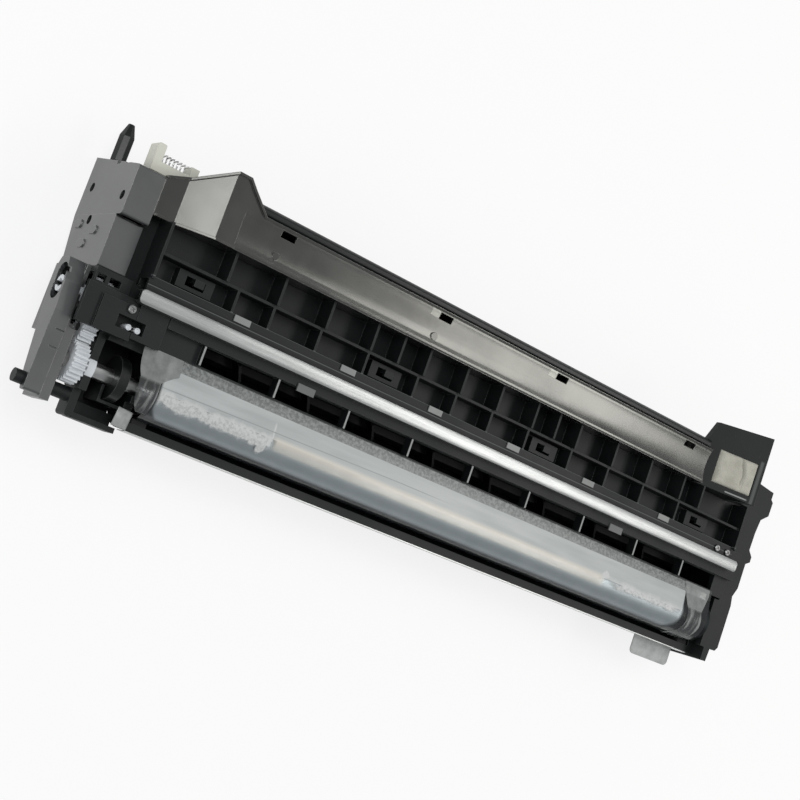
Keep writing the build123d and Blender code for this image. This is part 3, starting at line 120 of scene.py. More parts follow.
def marked_copy(finish, name):
    """A copy of a moulded finish to draw marks on: itself, tree, shader, base colour, place in x, y, z."""
    material = finish.copy()
    material.name = name
    tree = material.node_tree
    surface = next(n for n in tree.nodes if n.type == "BSDF_PRINCIPLED")
    where = next(n for n in tree.nodes if n.type == "VECT_MATH" and n.operation == "MULTIPLY").outputs[0]
    plain = surface.inputs["Base Color"].links[0].from_socket
    return material, tree, surface, plain, add(tree, "SeparateXYZ", {0: where}).outputs


def line_along(tree, value, at, half):
    """1 on a thin line at a value and 0 beside it, with soft sides."""
    beside = add(tree, "Math", {0: value, 1: at}, operation="SUBTRACT")
    off = add(tree, "Math", {0: beside}, operation="ABSOLUTE")
    return add(tree, "MapRange", {0: off, 1: half * 0.6, 2: half * 1.4, 3: 1.0, 4: 0.0})


def drifting(tree, pattern, first, second, low=0.35, high=0.65):
    """A shade that wanders between two colours with a pattern."""
    share = add(tree, "MapRange", {0: pattern, 1: low, 2: high})
    return add(tree, "Mix", {0: share, 6: colour(first), 7: colour(second)}, data_type="RGBA")


def moulded_plastic(name, base, lighter, edge, roughness, grain, grain_depth, dust, ior):
    """Moulded plastic: satin skin, spark grain, faint flow shading, a painted highlight along its edges and
    a little dust.
    """
    material, tree, surface, where = finish_of(name, {"IOR": ior})
    flow = add(tree, "TexNoise", {"Vector": where, "Scale": 1 / 26.0, "Detail": 4.0})
    shade = drifting(tree, flow, base, lighter, high=0.7)
    grains = add(tree, "TexNoise", {"Vector": where, "Scale": 1 / 0.5, "Detail": 2.0})
    specks = add(tree, "MapRange", {0: grains, 1: 0.7, 2: 0.76, 3: 0.0, 4: dust})
    dusty = add(tree, "Mix", {0: specks, 6: shade, 7: colour(DUST)}, data_type="RGBA")
    rounded = add(tree, "Bevel", {"Radius": 0.28 * MM}, samples=6)
    # Painted highlight: near every edge the base colour turns unevenly towards the edge colour
    highlight_breakup = add(tree, "TexNoise", {"Vector": where, "Scale": 1 / 3.2, "Detail": 3.0})
    uneven = add(tree, "MapRange", {0: highlight_breakup, 1: 0.3, 2: 0.62, 3: 0.15, 4: 1.0})
    painted_highlight = add(tree, "Math", {0: near_edges(tree, rounded), 1: uneven}, operation="MULTIPLY")
    edge_highlighted = add(tree, "Mix", {0: painted_highlight, 6: dusty, 7: colour(edge)}, data_type="RGBA")
    feed(tree, edge_highlighted, surface.inputs["Base Color"])
    satin = add(tree, "MapRange", {0: flow, 1: 0.3, 2: 0.75, 3: roughness - 0.05, 4: roughness + 0.07})
    feed(tree, satin, surface.inputs["Roughness"])
    skin = add(tree, "TexNoise", {"Vector": where, "Scale": 1 / grain, "Detail": 2.0})
    bump = add(tree, "Bump", {
        "Strength": 0.5, "Distance": grain_depth * MM, "Height": skin, "Normal": rounded})
    feed(tree, bump, surface.inputs["Normal"])
    return material


# Pale dust that lies in the grain of every moulded piece
DUST = "#8f8f8b"
# ABS, injection moulded in a spark-eroded mould: a soft black sheen that breaks into fine grain.
housing_black = moulded_plastic("abs_black_spark_grain", base="#0b0e0f", lighter="#131617", edge="#474b4b",
                                roughness=0.5, grain=0.45, grain_depth=0.03, dust=0.16, ior=1.38)
# The same ABS from a polished mould: mirror-like, and a little wavy where it shrank over the ribs.
gloss_black = moulded_plastic("abs_black_polished", base="#161817", lighter="#202220", edge="#5a5b58",
                              roughness=0.2, grain=7.0, grain_depth=0.03, dust=0.1, ior=2.0)
# ABS of the guide pin and the spacer wheels, turned smooth by wear: darker, with a low shine.
pin_black = moulded_plastic("abs_black_pin", base="#101212", lighter="#191b1b", edge="#5a5b5a",
                            roughness=0.3, grain=1.2, grain_depth=0.01, dust=0.14, ior=1.4)
# Glass-filled polyamide of the end plates: dense and smooth, and its shiny skin goes grey in the light.
end_grey = moulded_plastic("polyamide_end_plate", base="#1c1e1f", lighter="#262829", edge="#7b7c7b",
                           roughness=0.34, grain=0.6, grain_depth=0.012, dust=0.15, ior=2.2)
# Depth in millimetres of the fine relief of metal and waxy plastic
SKIN_RELIEF = 0.012


def simple(name, code, roundness=0.12, streaks=None, **shader):
    """A finish whose base drifts a little in shade, with fine bump or drawn streaks along the roller."""
    material, tree, surface, where = finish_of(name, shader)
    drift = add(tree, "TexNoise", {"Vector": where, "Scale": 1 / 9.0, "Detail": 3.0})
    if streaks:
        drawn = add(tree, "VectorMath", {0: where, 1: (0.035, 1.0, 1.0)}, operation="MULTIPLY")
        drift = add(tree, "TexNoise", {
            "Vector": drawn, "Scale": 1 / streaks, "Detail": 4.0, "Roughness": 0.65})
    level = add(tree, "MapRange", {0: drift, 1: 0.3, 2: 0.7, 3: 0.86 if streaks else 0.94, 4: 1.06})
    tint = add(tree, "HueSaturation", {"Color": colour(code), "Value": level})
    feed(tree, tint, surface.inputs["Base Color"])
    rounded = add(tree, "Bevel", {"Radius": roundness * MM}, samples=6)
    relief = drift if streaks else add(tree, "TexNoise", {"Vector": where, "Scale": 1 / 0.6, "Detail": 3.0})
    bump = add(tree, "Bump", {
        "Strength": 0.3, "Distance": SKIN_RELIEF * MM, "Normal": rounded, "Height": relief})
    feed(tree, bump, surface.inputs["Normal"])
    return material


# Ground steel of the shafts: bright, with one soft streak of light.
steel = simple("steel_ground", "#b5b6b6", Metallic=1.0, Roughness=0.28)
# Zinc-plated steel of the screws and the spring: duller and a little darker.
zinc_screw = simple("steel_zinc_plated", "#8c8d8d", Metallic=1.0, Roughness=0.34)
# Tinned bronze of the contacts: smooth and pale.
tin = simple("bronze_tinned", "#d2d3d2", Metallic=1.0, Roughness=0.2)
# Rolled strip steel of the lip and the blade: satin, with the rolls' lines along it.
strip_steel = simple("strip_steel", "#c3c5c4", roundness=0.1, streaks=1.1, Metallic=1.0, Roughness=0.4)
# Acetal, moulded: cool white gears with a waxy sheen.
pom_white = simple("pom_white", "#cfd3d7", Roughness=0.32, IOR=1.48)
# Nylon, moulded: the connector's ivory, a little duller.
nylon_ivory = simple("nylon_ivory", "#cbcbc0", Roughness=0.4, IOR=1.53)
# Grey ABS of the pads on the ledge and, darker, of the holder's clips: a plain satin.
pad_grey = simple("abs_grey_pad", "#7d7f7e", Roughness=0.45)
clip_grey = simple("abs_grey_clip", "#5c5e5e", Roughness=0.45)
# Felt of the side seals: black and wholly matt.
felt_black = simple("felt_black", "#1c1c1c", Roughness=0.95)
# Bonded ferrite of the magnet: dark grey, dull and even.
ferrite = simple("ferrite_bonded", "#2b2b2d", Roughness=0.55)


def blasted_sleeve():
    """Blasted aluminium of the sleeve: an even blue-grey matt skin, dark with toner past the print."""
    shader = {"Metallic": 1.0, "Roughness": 0.4}
    material, tree, surface, where = finish_of("aluminium_sleeve_blasted", shader)
    along = add(tree, "SeparateXYZ", {0: where}).outputs[0]
    right_end = add(tree, "MapRange", {0: along, 1: at_x(133.5), 2: at_x(136.0)})
    left_end = add(tree, "MapRange", {0: along, 1: at_x(-152.0), 2: at_x(-151.0), 3: 1.0, 4: 0.0})
    cloud = add(tree, "TexNoise", {"Vector": where, "Scale": 1 / 7.0, "Detail": 3.0})
    even = drifting(tree, cloud, "#aab3b7", "#b4bcc0", 0.3, 0.7)
    darkened = add(tree, "Math", {0: left_end, 1: right_end}, operation="MAXIMUM")
    shade = add(tree, "Mix", {0: darkened, 6: even, 7: colour("#26292a")}, data_type="RGBA")
    feed(tree, shade, surface.inputs["Base Color"])
    blasted = add(tree, "TexNoise", {"Vector": where, "Scale": 1 / 0.3, "Detail": 3.0})
    bump = add(tree, "Bump", {"Strength": 0.3, "Distance": SKIN_RELIEF * MM, "Height": blasted})
    feed(tree, bump, surface.inputs["Normal"])
    return material


# The middle vents along the roller, the mark's distance left of each and its depth, in millimetres
MIDDLE_VENTS_X = (-50.9, 15.0)
MARK_LEFT_BY = 5.6
MARK_Y = 70.6


def trough_black():
    """The trough's polished ABS, with a pale witness mark of the mould left of each middle vent."""
    material, tree, surface, plain, parts = marked_copy(gloss_black, "abs_black_polished_trough")
    marks = None
    for vent_x in MIDDLE_VENTS_X:
        across = add(tree, "Math", {0: parts[0], 1: at_x(vent_x - MARK_LEFT_BY)}, operation="SUBTRACT")
        across = add(tree, "Math", {0: across}, operation="ABSOLUTE")
        over = add(tree, "Math", {0: parts[1], 1: at_y(MARK_Y)}, operation="SUBTRACT")
        over = add(tree, "Math", {0: over}, operation="ABSOLUTE")
        across = add(tree, "MapRange", {0: across, 1: 1.9, 2: 2.3, 3: 1.0, 4: 0.0})
        over = add(tree, "MapRange", {0: over, 1: 1.3, 2: 1.6, 3: 1.0, 4: 0.0})
        mark = add(tree, "Math", {0: across, 1: over}, operation="MULTIPLY")
        marks = mark if marks is None else add(tree, "Math", {0: marks, 1: mark}, operation="MAXIMUM")
    marked = add(tree, "Mix", {0: marks, 6: plain, 7: colour("#767870")}, data_type="RGBA")
    feed(tree, marked, surface.inputs["Base Color"])
    surface.inputs["Specular Tint"].default_value = colour("#fafaf4")
    return material


LEDGE_TOP_Z = 43.3
# Painted lines along the ledge for its steps, pale ones a painted highlight and dark ones a painted shadow:
# their depth and half width in millimetres and their shade, pale ones first
LEDGE_LINES = ((33.7, 0.16, "#4f5353"), (36.95, 0.2, "#4f5353"),
               (34.15, 0.24, "#030404"), (32.3, 0.3, "#030404"))


def ledge_black():
    """The top cover's ABS, with painted highlight and painted shadow lines where two fine steps run along
    its ledge.
    """
    material, tree, surface, plain, parts = marked_copy(housing_black, "abs_black_ledge_painted_lines")
    on_top = add(tree, "MapRange", {0: parts[2], 1: LEDGE_TOP_Z - 0.1, 2: LEDGE_TOP_Z + 0.1})
    painted_step_lines = plain
    # Each line is painted on the ledge's top: pale lines are painted highlights, dark lines painted shadows
    for y, half, shade in LEDGE_LINES:
        line = line_along(tree, parts[1], at_y(y), half)
        line = add(tree, "Math", {0: line, 1: on_top}, operation="MULTIPLY")
        painted_step_lines = add(tree, "Mix", {0: line, 6: painted_step_lines, 7: colour(shade)}, data_type="RGBA")
    feed(tree, painted_step_lines, surface.inputs["Base Color"])
    return material


# The rail's middle line and how fast its top falls away from it, per millimetre
RAIL_MIDDLE_Y = 75.2
RAIL_CROWN = 0.16


def rail_black():
    """The rear rail's polished ABS, rounded over its top."""
    material, tree, surface, where = finish_of("abs_black_rounded_rail", {"IOR": 1.38, "Roughness": 0.34})
    depth = add(tree, "SeparateXYZ", {0: where}).outputs[1]
    off_middle = add(tree, "Math", {0: depth, 1: at_y(RAIL_MIDDLE_Y)}, operation="SUBTRACT")
    square = add(tree, "Math", {0: off_middle, 1: off_middle}, operation="MULTIPLY")
    crown = add(tree, "Math", {0: square, 1: -RAIL_CROWN}, operation="MULTIPLY")
    flow = add(tree, "TexNoise", {"Vector": where, "Scale": 1 / 18.0, "Detail": 3.0})
    feed(tree, drifting(tree, flow, "#0d0f10", "#16191a"), surface.inputs["Base Color"])
    skin = add(tree, "TexNoise", {"Vector": where, "Scale": 1 / 0.45, "Detail": 3.0})
    grain = add(tree, "Math", {0: skin, 1: SKIN_RELIEF}, operation="MULTIPLY")
    height = add(tree, "Math", {0: crown, 1: grain}, operation="ADD")
    bump = add(tree, "Bump", {"Strength": 1.0, "Distance": MM, "Height": height})
    feed(tree, bump, surface.inputs["Normal"])
    return material


def inlet_black():
    """The inlet's ABS, with painted highlights along its edges right of the pad and in front of it."""
    material, tree, surface, plain, parts = marked_copy(housing_black, "abs_black_inlet_painted_highlights")
    seat_back = add(tree, "MapRange", {0: parts[1], 1: at_y(77.0), 2: at_y(78.0), 3: 1.0, 4: 0.0})
    beside = line_along(tree, parts[0], at_x(140.9), 0.8)
    beside = add(tree, "Math", {0: beside, 1: seat_back}, operation="MULTIPLY")
    from_left = add(tree, "MapRange", {0: parts[0], 1: at_x(127.0), 2: at_x(127.6)})
    to_right = add(tree, "MapRange", {0: parts[0], 1: at_x(138.0), 2: at_x(139.0), 3: 1.0, 4: 0.0})
    short = add(tree, "Math", {0: from_left, 1: to_right}, operation="MULTIPLY")
    front = line_along(tree, parts[1], at_y(58.1), 0.3)
    front = add(tree, "Math", {0: front, 1: short}, operation="MULTIPLY")
    # Painted highlights: a pale line right of the pad and a brighter one along its front edge
    painted_highlight = add(tree, "Mix", {0: beside, 6: plain, 7: colour("#4b4f4e")}, data_type="RGBA")
    painted_highlight = add(tree, "Mix", {0: front, 6: painted_highlight, 7: colour("#8d908e")}, data_type="RGBA")
    feed(tree, painted_highlight, surface.inputs["Base Color"])
    return material


# The bar's middle line and how fast its face falls away from it, per millimetre
BAR_MIDDLE_Y = 28.9
BAR_CROWN = 0.085


def drawn_bar():
    """Bright drawn steel of the stay bar: a crowned face with long fine draw lines and greyer shoulders."""
    material, tree, surface, where = finish_of("stay_bar_drawn_steel", {"Metallic": 1.0, "Roughness": 0.34})
    drawn = add(tree, "VectorMath", {0: where, 1: (0.02, 1.0, 1.0)}, operation="MULTIPLY")
    lines = add(tree, "TexNoise", {"Vector": drawn, "Scale": 1 / 0.7, "Detail": 4.0, "Roughness": 0.65})
    long = add(tree, "VectorMath", {0: where, 1: (0.12, 1.0, 1.0)}, operation="MULTIPLY")
    patches = add(tree, "TexNoise", {"Vector": long, "Scale": 1 / 5.0, "Detail": 3.0})
    both = add(tree, "Math", {0: lines, 1: patches}, operation="ADD")
    tint = drifting(tree, both, "#999b9b", "#bdbfbf", 0.7, 1.3)
    feed(tree, tint, surface.inputs["Base Color"])
    depth = add(tree, "SeparateXYZ", {0: where}).outputs[1]
    off_middle = add(tree, "Math", {0: depth, 1: at_y(BAR_MIDDLE_Y)}, operation="SUBTRACT")
    square = add(tree, "Math", {0: off_middle, 1: off_middle}, operation="MULTIPLY")
    crown = add(tree, "Math", {0: square, 1: -BAR_CROWN}, operation="MULTIPLY")
    grooves = add(tree, "Math", {0: lines, 1: 0.03}, operation="MULTIPLY")
    height = add(tree, "Math", {0: crown, 1: grooves}, operation="ADD")
    bump = add(tree, "Bump", {"Strength": 1.0, "Distance": MM, "Height": height})
    feed(tree, bump, surface.inputs["Normal"])
    return material


RIB_TOP_Z = 40.6


def window_frame_black():
    """The blade holder's ABS, with a painted highlight on top of the thin ribs across the windows."""
    material, tree, surface, plain, parts = marked_copy(housing_black, "abs_black_ribs_painted_highlight")
    above = add(tree, "MapRange", {0: parts[2], 1: RIB_TOP_Z - 0.15, 2: RIB_TOP_Z - 0.05})
    below = add(tree, "MapRange", {0: parts[2], 1: RIB_TOP_Z + 0.05, 2: RIB_TOP_Z + 0.15, 3: 1.0, 4: 0.0})
    across = add(tree, "MapRange", {0: parts[1], 1: at_y(22.6), 2: at_y(22.9), 3: 1.0, 4: 0.0})
    painted_highlight = add(tree, "Math", {0: above, 1: below}, operation="MULTIPLY")
    painted_highlight = add(tree, "Math", {0: painted_highlight, 1: across}, operation="MULTIPLY")
    # Painted highlight on the rib tops
    shade = add(tree, "Mix", {0: painted_highlight, 6: plain, 7: colour("#8f9190")}, data_type="RGBA")
    feed(tree, shade, surface.inputs["Base Color"])
    return material


# The pad's cells in millimetres, drawn a little coarser than real ones so that they show
CELL_SIZE = 0.55


def open_foam():
    """Open-cell polyurethane foam: pale cream, with cells of half a millimetre whose hollows get painted
    shade so they read as fine pores.
    """
    shader = {"Roughness": 0.95, "Sheen Weight": 0.2}
    material, tree, surface, where = finish_of("foam_cream_open_cell", shader)
    cells = add(tree, "TexVoronoi", {"Vector": where, "Scale": 1 / CELL_SIZE}).outputs["Distance"]
    cloud = add(tree, "TexNoise", {"Vector": where, "Scale": 1 / 6.0, "Detail": 3.0})
    soft = drifting(tree, cloud, "#a3a196", "#b5b3a8")
    # Painted shade: darker in the middle of each cell, where the pore's hollow is
    pores = add(tree, "MapRange", {0: cells, 1: 0.1, 2: 0.45, 3: 0.35, 4: 0.0})
    pore_shaded = add(tree, "Mix", {0: pores, 6: soft, 7: colour("#8e8c82")}, data_type="RGBA")
    feed(tree, pore_shaded, surface.inputs["Base Color"])
    bump = add(tree, "Bump", {"Strength": 0.7, "Distance": 0.15 * MM, "Height": cells})
    feed(tree, bump, surface.inputs["Normal"])
    return material


# The film's own map holds this many millimetres along the roller and down from the holder's lip
MAP_LENGTH = 1000.0
MAP_DEPTH = 100.0


def frosted(name, code, pale, low, high, roughness):
    """PET film with a matt coat: milky, half clear, with soft creases."""
    material, tree, surface, where = finish_of(name, {"IOR": 1.57, "Roughness": roughness})
    cloud = add(tree, "TexNoise", {"Vector": where, "Scale": 1 / 5.0, "Detail": 4.0, "Roughness": 0.6})
    feed(tree, drifting(tree, cloud, code, pale), surface.inputs["Base Color"])
    cover = add(tree, "MapRange", {0: cloud, 1: 0.35, 2: 0.65, 3: low, 4: high})
    feed(tree, cover, surface.inputs["Alpha"])
    bump = add(tree, "Bump", {"Strength": 0.5, "Distance": 0.2 * MM, "Height": cloud})
    feed(tree, bump, surface.inputs["Normal"])
    return material


def grey(level):
    """A level as a colour, for a blend that ends in a plain value."""
    return level, level, level, 1.0


def film_tape_finish():
    """Polyester tape: matt grey where its glue holds on the lip, clear and creased where it hangs free,
    with painted highlights along the creases.
    """
    material, tree, surface, where = finish_of("pet_tape_part_glued", {"IOR": 1.57})
    laid = add(tree, "UVMap", uv_map="laid_out").outputs[0]
    down = add(tree, "SeparateXYZ", {0: laid}).outputs[1]
    down = add(tree, "Math", {0: down, 1: MAP_DEPTH}, operation="MULTIPLY")
    cloud = add(tree, "TexNoise", {"Vector": where, "Scale": 1 / 3.0, "Detail": 4.0, "Roughness": 0.6})
    drawn = add(tree, "VectorMath", {0: where, 1: (1.0, 0.2, 0.2)}, operation="MULTIPLY")
    crease = add(tree, "TexNoise", {"Vector": drawn, "Scale": 1 / 2.6, "Detail": 2.0})
    free = add(tree, "Math", {0: down, 1: cloud}, operation="ADD")
    free = add(tree, "MapRange", {0: free, 1: 11.2, 2: 12.4})
    glued = drifting(tree, cloud, "#797c7b", "#8d908f")
    # Painted highlight: pale streaks along the creases of the hanging tape
    painted_crease_highlight = add(tree, "MapRange", {0: crease, 1: 0.5, 2: 0.66})
    hanging = add(tree, "Mix", {0: painted_crease_highlight, 6: colour("#5d6061"), 7: colour("#a9abab")}, data_type="RGBA")
    shade = add(tree, "Mix", {0: free, 6: glued, 7: hanging}, data_type="RGBA")
    feed(tree, shade, surface.inputs["Base Color"])
    see_through = add(tree, "Mix", {0: painted_crease_highlight, 6: grey(0.4), 7: grey(0.58)}, data_type="RGBA")
    cover = add(tree, "Mix", {0: free, 6: grey(0.74), 7: see_through}, data_type="RGBA")
    feed(tree, cover, surface.inputs["Alpha"])
    satin = add(tree, "MapRange", {0: free, 1: 0.0, 2: 1.0, 3: 0.34, 4: 0.18})
    feed(tree, satin, surface.inputs["Roughness"])
    bump = add(tree, "Bump", {"Strength": 0.5, "Distance": 0.2 * MM, "Height": crease})
    feed(tree, bump, surface.inputs["Normal"])
    return material


# Patches of the film, of tape, coat, glue and painted highlight: low, high and softness of their edges,
# down from the lip and along the roller
TAPE_STRIP = ((0.3, 4.5, 0.08), (-146.0, 131.0, 0.3))
# The matt flat's pale colour is partly the coat's haze and partly a painted reflection of the lamp
MATT_FLAT = ((4.5, 13.9, 0.12), (-152.0, 132.6, 0.3))
# The glue patches and seam are milky adhesive and partly a painted highlight with ragged edges
GLUE_AND_HIGHLIGHT_LEFT = ((13.0, 18.4, 0.8), (-152.0, -102.2, 0.4))
GLUE_AND_HIGHLIGHT_RIGHT = ((13.0, 16.2, 0.9), (86.0, 131.0, 5.0))
# A painted highlight: the lamp's reflection along the roller's top, drawn as a pale beige band
PAINTED_HIGHLIGHT_BAND = ((12.8, 18.0, 0.7), (-101.4, 80.0, 1.5))
GLUE_AND_HIGHLIGHT_SEAM = ((7.9, 15.2, 0.8), (-102.6, -101.9, 0.25))
# Two blobs of milky glue, partly a painted highlight: their place along the roller and down, and half their
# width and height
GLUE_AND_HIGHLIGHT_BLOBS = ((-105.7, 18.4, 2.2, 3.2), (80.2, 12.6, 2.6, 1.8))


def film_wrap_finish():
    """Clear PET film stuck to its holder by a frosted tape, with milky adhesive over the roller's top, a
    painted highlight band along it and painted shade at its front edge.
    """
    material, tree, surface, where = finish_of("pet_film_with_adhesive", {"IOR": 1.57, "Roughness": 0.16})
    laid = add(tree, "UVMap", uv_map="laid_out").outputs[0]
    parts = add(tree, "SeparateXYZ", {0: laid}).outputs
    along = add(tree, "Math", {0: parts[0], 1: MAP_LENGTH}, operation="MULTIPLY")
    along = add(tree, "Math", {0: along, 1: MAP_LENGTH / 2}, operation="SUBTRACT")
    down = add(tree, "Math", {0: parts[1], 1: MAP_DEPTH}, operation="MULTIPLY")
    fine = add(tree, "TexNoise", {"Vector": where, "Scale": 1 / 1.3, "Detail": 4.0, "Roughness": 0.7})
    coarse = add(tree, "TexNoise", {"Vector": where, "Scale": 1 / 4.6, "Detail": 4.0, "Roughness": 0.62})
    ragged = add(tree, "Math", {0: coarse, 1: 0.5}, operation="SUBTRACT")
    ragged = add(tree, "Math", {0: ragged, 1: 5.0}, operation="MULTIPLY")
    ragged_down = add(tree, "Math", {0: down, 1: ragged}, operation="ADD")

    def inside(value, low, high, soft):
        """1 between two values and 0 outside, with a soft edge."""
        above = add(tree, "MapRange", {0: value, 1: low - soft, 2: low + soft})
        below = add(tree, "MapRange", {0: value, 1: high - soft, 2: high + soft, 3: 1.0, 4: 0.0})
        return add(tree, "Math", {0: above, 1: below}, operation="MULTIPLY")

    def patch(depth, down_edges, along_edges):
        """1 on a patch of the film and 0 round it."""
        in_depth, in_length = inside(depth, *down_edges), inside(along, *along_edges)
        return add(tree, "Math", {0: in_depth, 1: in_length}, operation="MULTIPLY")

    def blob(x, depth, wide, tall):
        """1 on a blob of glue and painted highlight and 0 round it."""
        squares = []
        for value, middle, half in ((along, x, wide), (ragged_down, depth, tall)):
            off = add(tree, "Math", {0: value, 1: middle}, operation="SUBTRACT")
            off = add(tree, "Math", {0: off, 1: half}, operation="DIVIDE")
            squares.append(add(tree, "Math", {0: off, 1: off}, operation="MULTIPLY"))
        away = add(tree, "Math", {0: squares[0], 1: squares[1]}, operation="ADD")
        away = add(tree, "Math", {0: away}, operation="SQRT")
        return add(tree, "MapRange", {0: away, 1: 0.8, 2: 1.05, 3: 1.0, 4: 0.0})

    strip = patch(down, *TAPE_STRIP)
    flat = patch(down, *MATT_FLAT)
    # Milky adhesive, partly a painted highlight
    glue_and_highlight = patch(ragged_down, *GLUE_AND_HIGHLIGHT_LEFT)
    blobs = [blob(*spot) for spot in GLUE_AND_HIGHLIGHT_BLOBS]
    for more in (patch(ragged_down, *GLUE_AND_HIGHLIGHT_RIGHT), *blobs, patch(down, *GLUE_AND_HIGHLIGHT_SEAM)):
        glue_and_highlight = add(tree, "Math", {0: glue_and_highlight, 1: more}, operation="MAXIMUM")
    mottled = add(tree, "MapRange", {0: fine, 1: 0.34, 2: 0.56, 3: 0.76, 4: 1.0})
    mottled_glue_and_highlight = add(tree, "Math", {0: glue_and_highlight, 1: mottled}, operation="MULTIPLY")
    # Painted highlight band, more opaque at its top
    highlight_band = patch(down, *PAINTED_HIGHLIGHT_BAND)
    # The matt coat's upper edge runs slightly off the roller's line, so it shows as a thin line
    line_at = add(tree, "MapRange", {0: along, 1: -153.0, 2: -40.0, 3: 11.9, 4: 10.2})
    off_line = add(tree, "Math", {0: down, 1: line_at}, operation="SUBTRACT")
    off_line = add(tree, "Math", {0: off_line}, operation="ABSOLUTE")
    on_line = add(tree, "MapRange", {0: off_line, 1: 0.1, 2: 0.3, 3: 1.0, 4: 0.0})
    line = add(tree, "Math", {0: on_line, 1: inside(along, -153.0, -20.0, 8.0)}, operation="MULTIPLY")

    drawn = add(tree, "VectorMath", {0: where, 1: (0.1, 1.0, 1.0)}, operation="MULTIPLY")
    matt_streaks = add(tree, "TexNoise", {"Vector": drawn, "Scale": 1 / 3.0, "Detail": 3.0})
    tape_shade = drifting(tree, fine, "#646868", "#858988", 0.42, 0.6)
    # Pale colour of the flat: coat haze and painted reflection
    coat_haze_and_painted_reflection = drifting(tree, matt_streaks, "#a6abab", "#b6baba", 0.3, 0.7)
    base = add(tree, "Mix", {0: strip, 6: colour("#8b9090"), 7: tape_shade}, data_type="RGBA")
    base = add(tree, "Mix", {0: flat, 6: base, 7: coat_haze_and_painted_reflection}, data_type="RGBA")
    base = add(tree, "Mix", {0: highlight_band, 6: base, 7: colour("#cdc9c0")}, data_type="RGBA")
    base = add(tree, "Mix", {0: mottled_glue_and_highlight, 6: base, 7: colour("#c6c7c7")}, data_type="RGBA")
    base = add(tree, "Mix", {0: line, 6: base, 7: colour("#929696")}, data_type="RGBA")
    # Toner has gathered between sleeve and film beyond the coated length; towards the front edge the film
    # is darkened by painted shade
    first_curve = add(tree, "MapRange", {0: down, 1: 17.0, 2: 27.0})
    second_curve = add(tree, "MapRange", {0: down, 1: 17.0, 2: 27.0, 3: 0.0, 4: 7.0})
    rounded = add(tree, "Math", {0: first_curve, 1: second_curve}, operation="MULTIPLY")
    # Painted shade: the film darkens towards its front edge
    below = add(tree, "MapRange", {0: down, 1: 23.4, 2: 27.2, 3: 0.0, 4: 0.9})
    to_right = add(tree, "Math", {0: along, 1: rounded}, operation="ADD")
    beyond = add(tree, "MapRange", {0: to_right, 1: 132.8, 2: 134.4, 3: 0.0, 4: 0.85})
    to_left = add(tree, "Math", {0: rounded, 1: along}, operation="SUBTRACT")
    before = add(tree, "MapRange", {0: to_left, 1: 151.0, 2: 153.0, 3: 0.0, 4: 0.7})
    past_flat = add(tree, "MapRange", {0: down, 1: 4.5, 2: 5.2})
    toner_and_painted_shade = add(tree, "Math", {0: beyond, 1: before}, operation="MAXIMUM")
    toner_and_painted_shade = add(tree, "Math", {0: below, 1: toner_and_painted_shade}, operation="MAXIMUM")
    darkened = add(tree, "Math", {0: toner_and_painted_shade, 1: past_flat}, operation="MULTIPLY")
    dark = add(tree, "MapRange", {0: darkened, 1: 0.0, 2: 0.4})
    base = add(tree, "Mix", {0: dark, 6: base, 7: colour("#15181a")}, data_type="RGBA")
    feed(tree, base, surface.inputs["Base Color"])

    strip_level = add(tree, "MapRange", {0: fine, 1: 0.4, 2: 0.62, 3: 0.6, 4: 0.72})
    strip_cover = add(tree, "Math", {0: strip, 1: strip_level}, operation="MULTIPLY")
    strip_cover = add(tree, "Math", {0: 0.16, 1: strip_cover}, operation="ADD")
    flat_cover = add(tree, "Math", {0: flat, 1: 0.9}, operation="MULTIPLY")
    highlight_level = add(tree, "MapRange", {0: down, 1: 14.0, 2: 18.4, 3: 0.9, 4: 0.3})
    highlight_cover = add(tree, "Math", {0: highlight_band, 1: highlight_level}, operation="MULTIPLY")
    glue_and_highlight_cover = add(tree, "Math", {0: mottled_glue_and_highlight, 1: 0.92}, operation="MULTIPLY")
    cover = strip_cover
    for layer in (flat_cover, highlight_cover, glue_and_highlight_cover, darkened):
        cover = add(tree, "Math", {0: cover, 1: layer}, operation="MAXIMUM")
    feed(tree, cover, surface.inputs["Alpha"])
    matt = add(tree, "Math", {0: strip, 1: flat}, operation="MAXIMUM")
    matt = add(tree, "Math", {0: matt, 1: glue_and_highlight}, operation="MAXIMUM")
    satin = add(tree, "MapRange", {0: matt, 1: 0.0, 2: 1.0, 3: 0.14, 4: 0.34})
    feed(tree, satin, surface.inputs["Roughness"])
    relief = add(tree, "Math", {0: fine, 1: strip}, operation="MULTIPLY")
    relief = add(tree, "Math", {0: mottled_glue_and_highlight, 1: relief}, operation="ADD")
    bump = add(tree, "Bump", {"Strength": 0.6, "Distance": 0.07 * MM, "Height": relief})
    feed(tree, bump, surface.inputs["Normal"])
    return material


sleeve_metal = blasted_sleeve()
channel_black = trough_black()
ledge_painted_lines_black = ledge_black()
rounded_black = rail_black()
inlet_painted_highlights_black = inlet_black()
bar_steel = drawn_bar()
ribbed_black = window_frame_black()
foam_cream = open_foam()
tab_frosted = frosted("pet_tab_frosted", "#8f9291", "#a9acab", 0.82, 0.9, 0.3)
tape_clear = frosted("pet_tape_clear", "#9a9d9c", "#bfc1c0", 0.16, 0.42, 0.1)
film_tape = film_tape_finish()
film_wrap = film_wrap_finish()

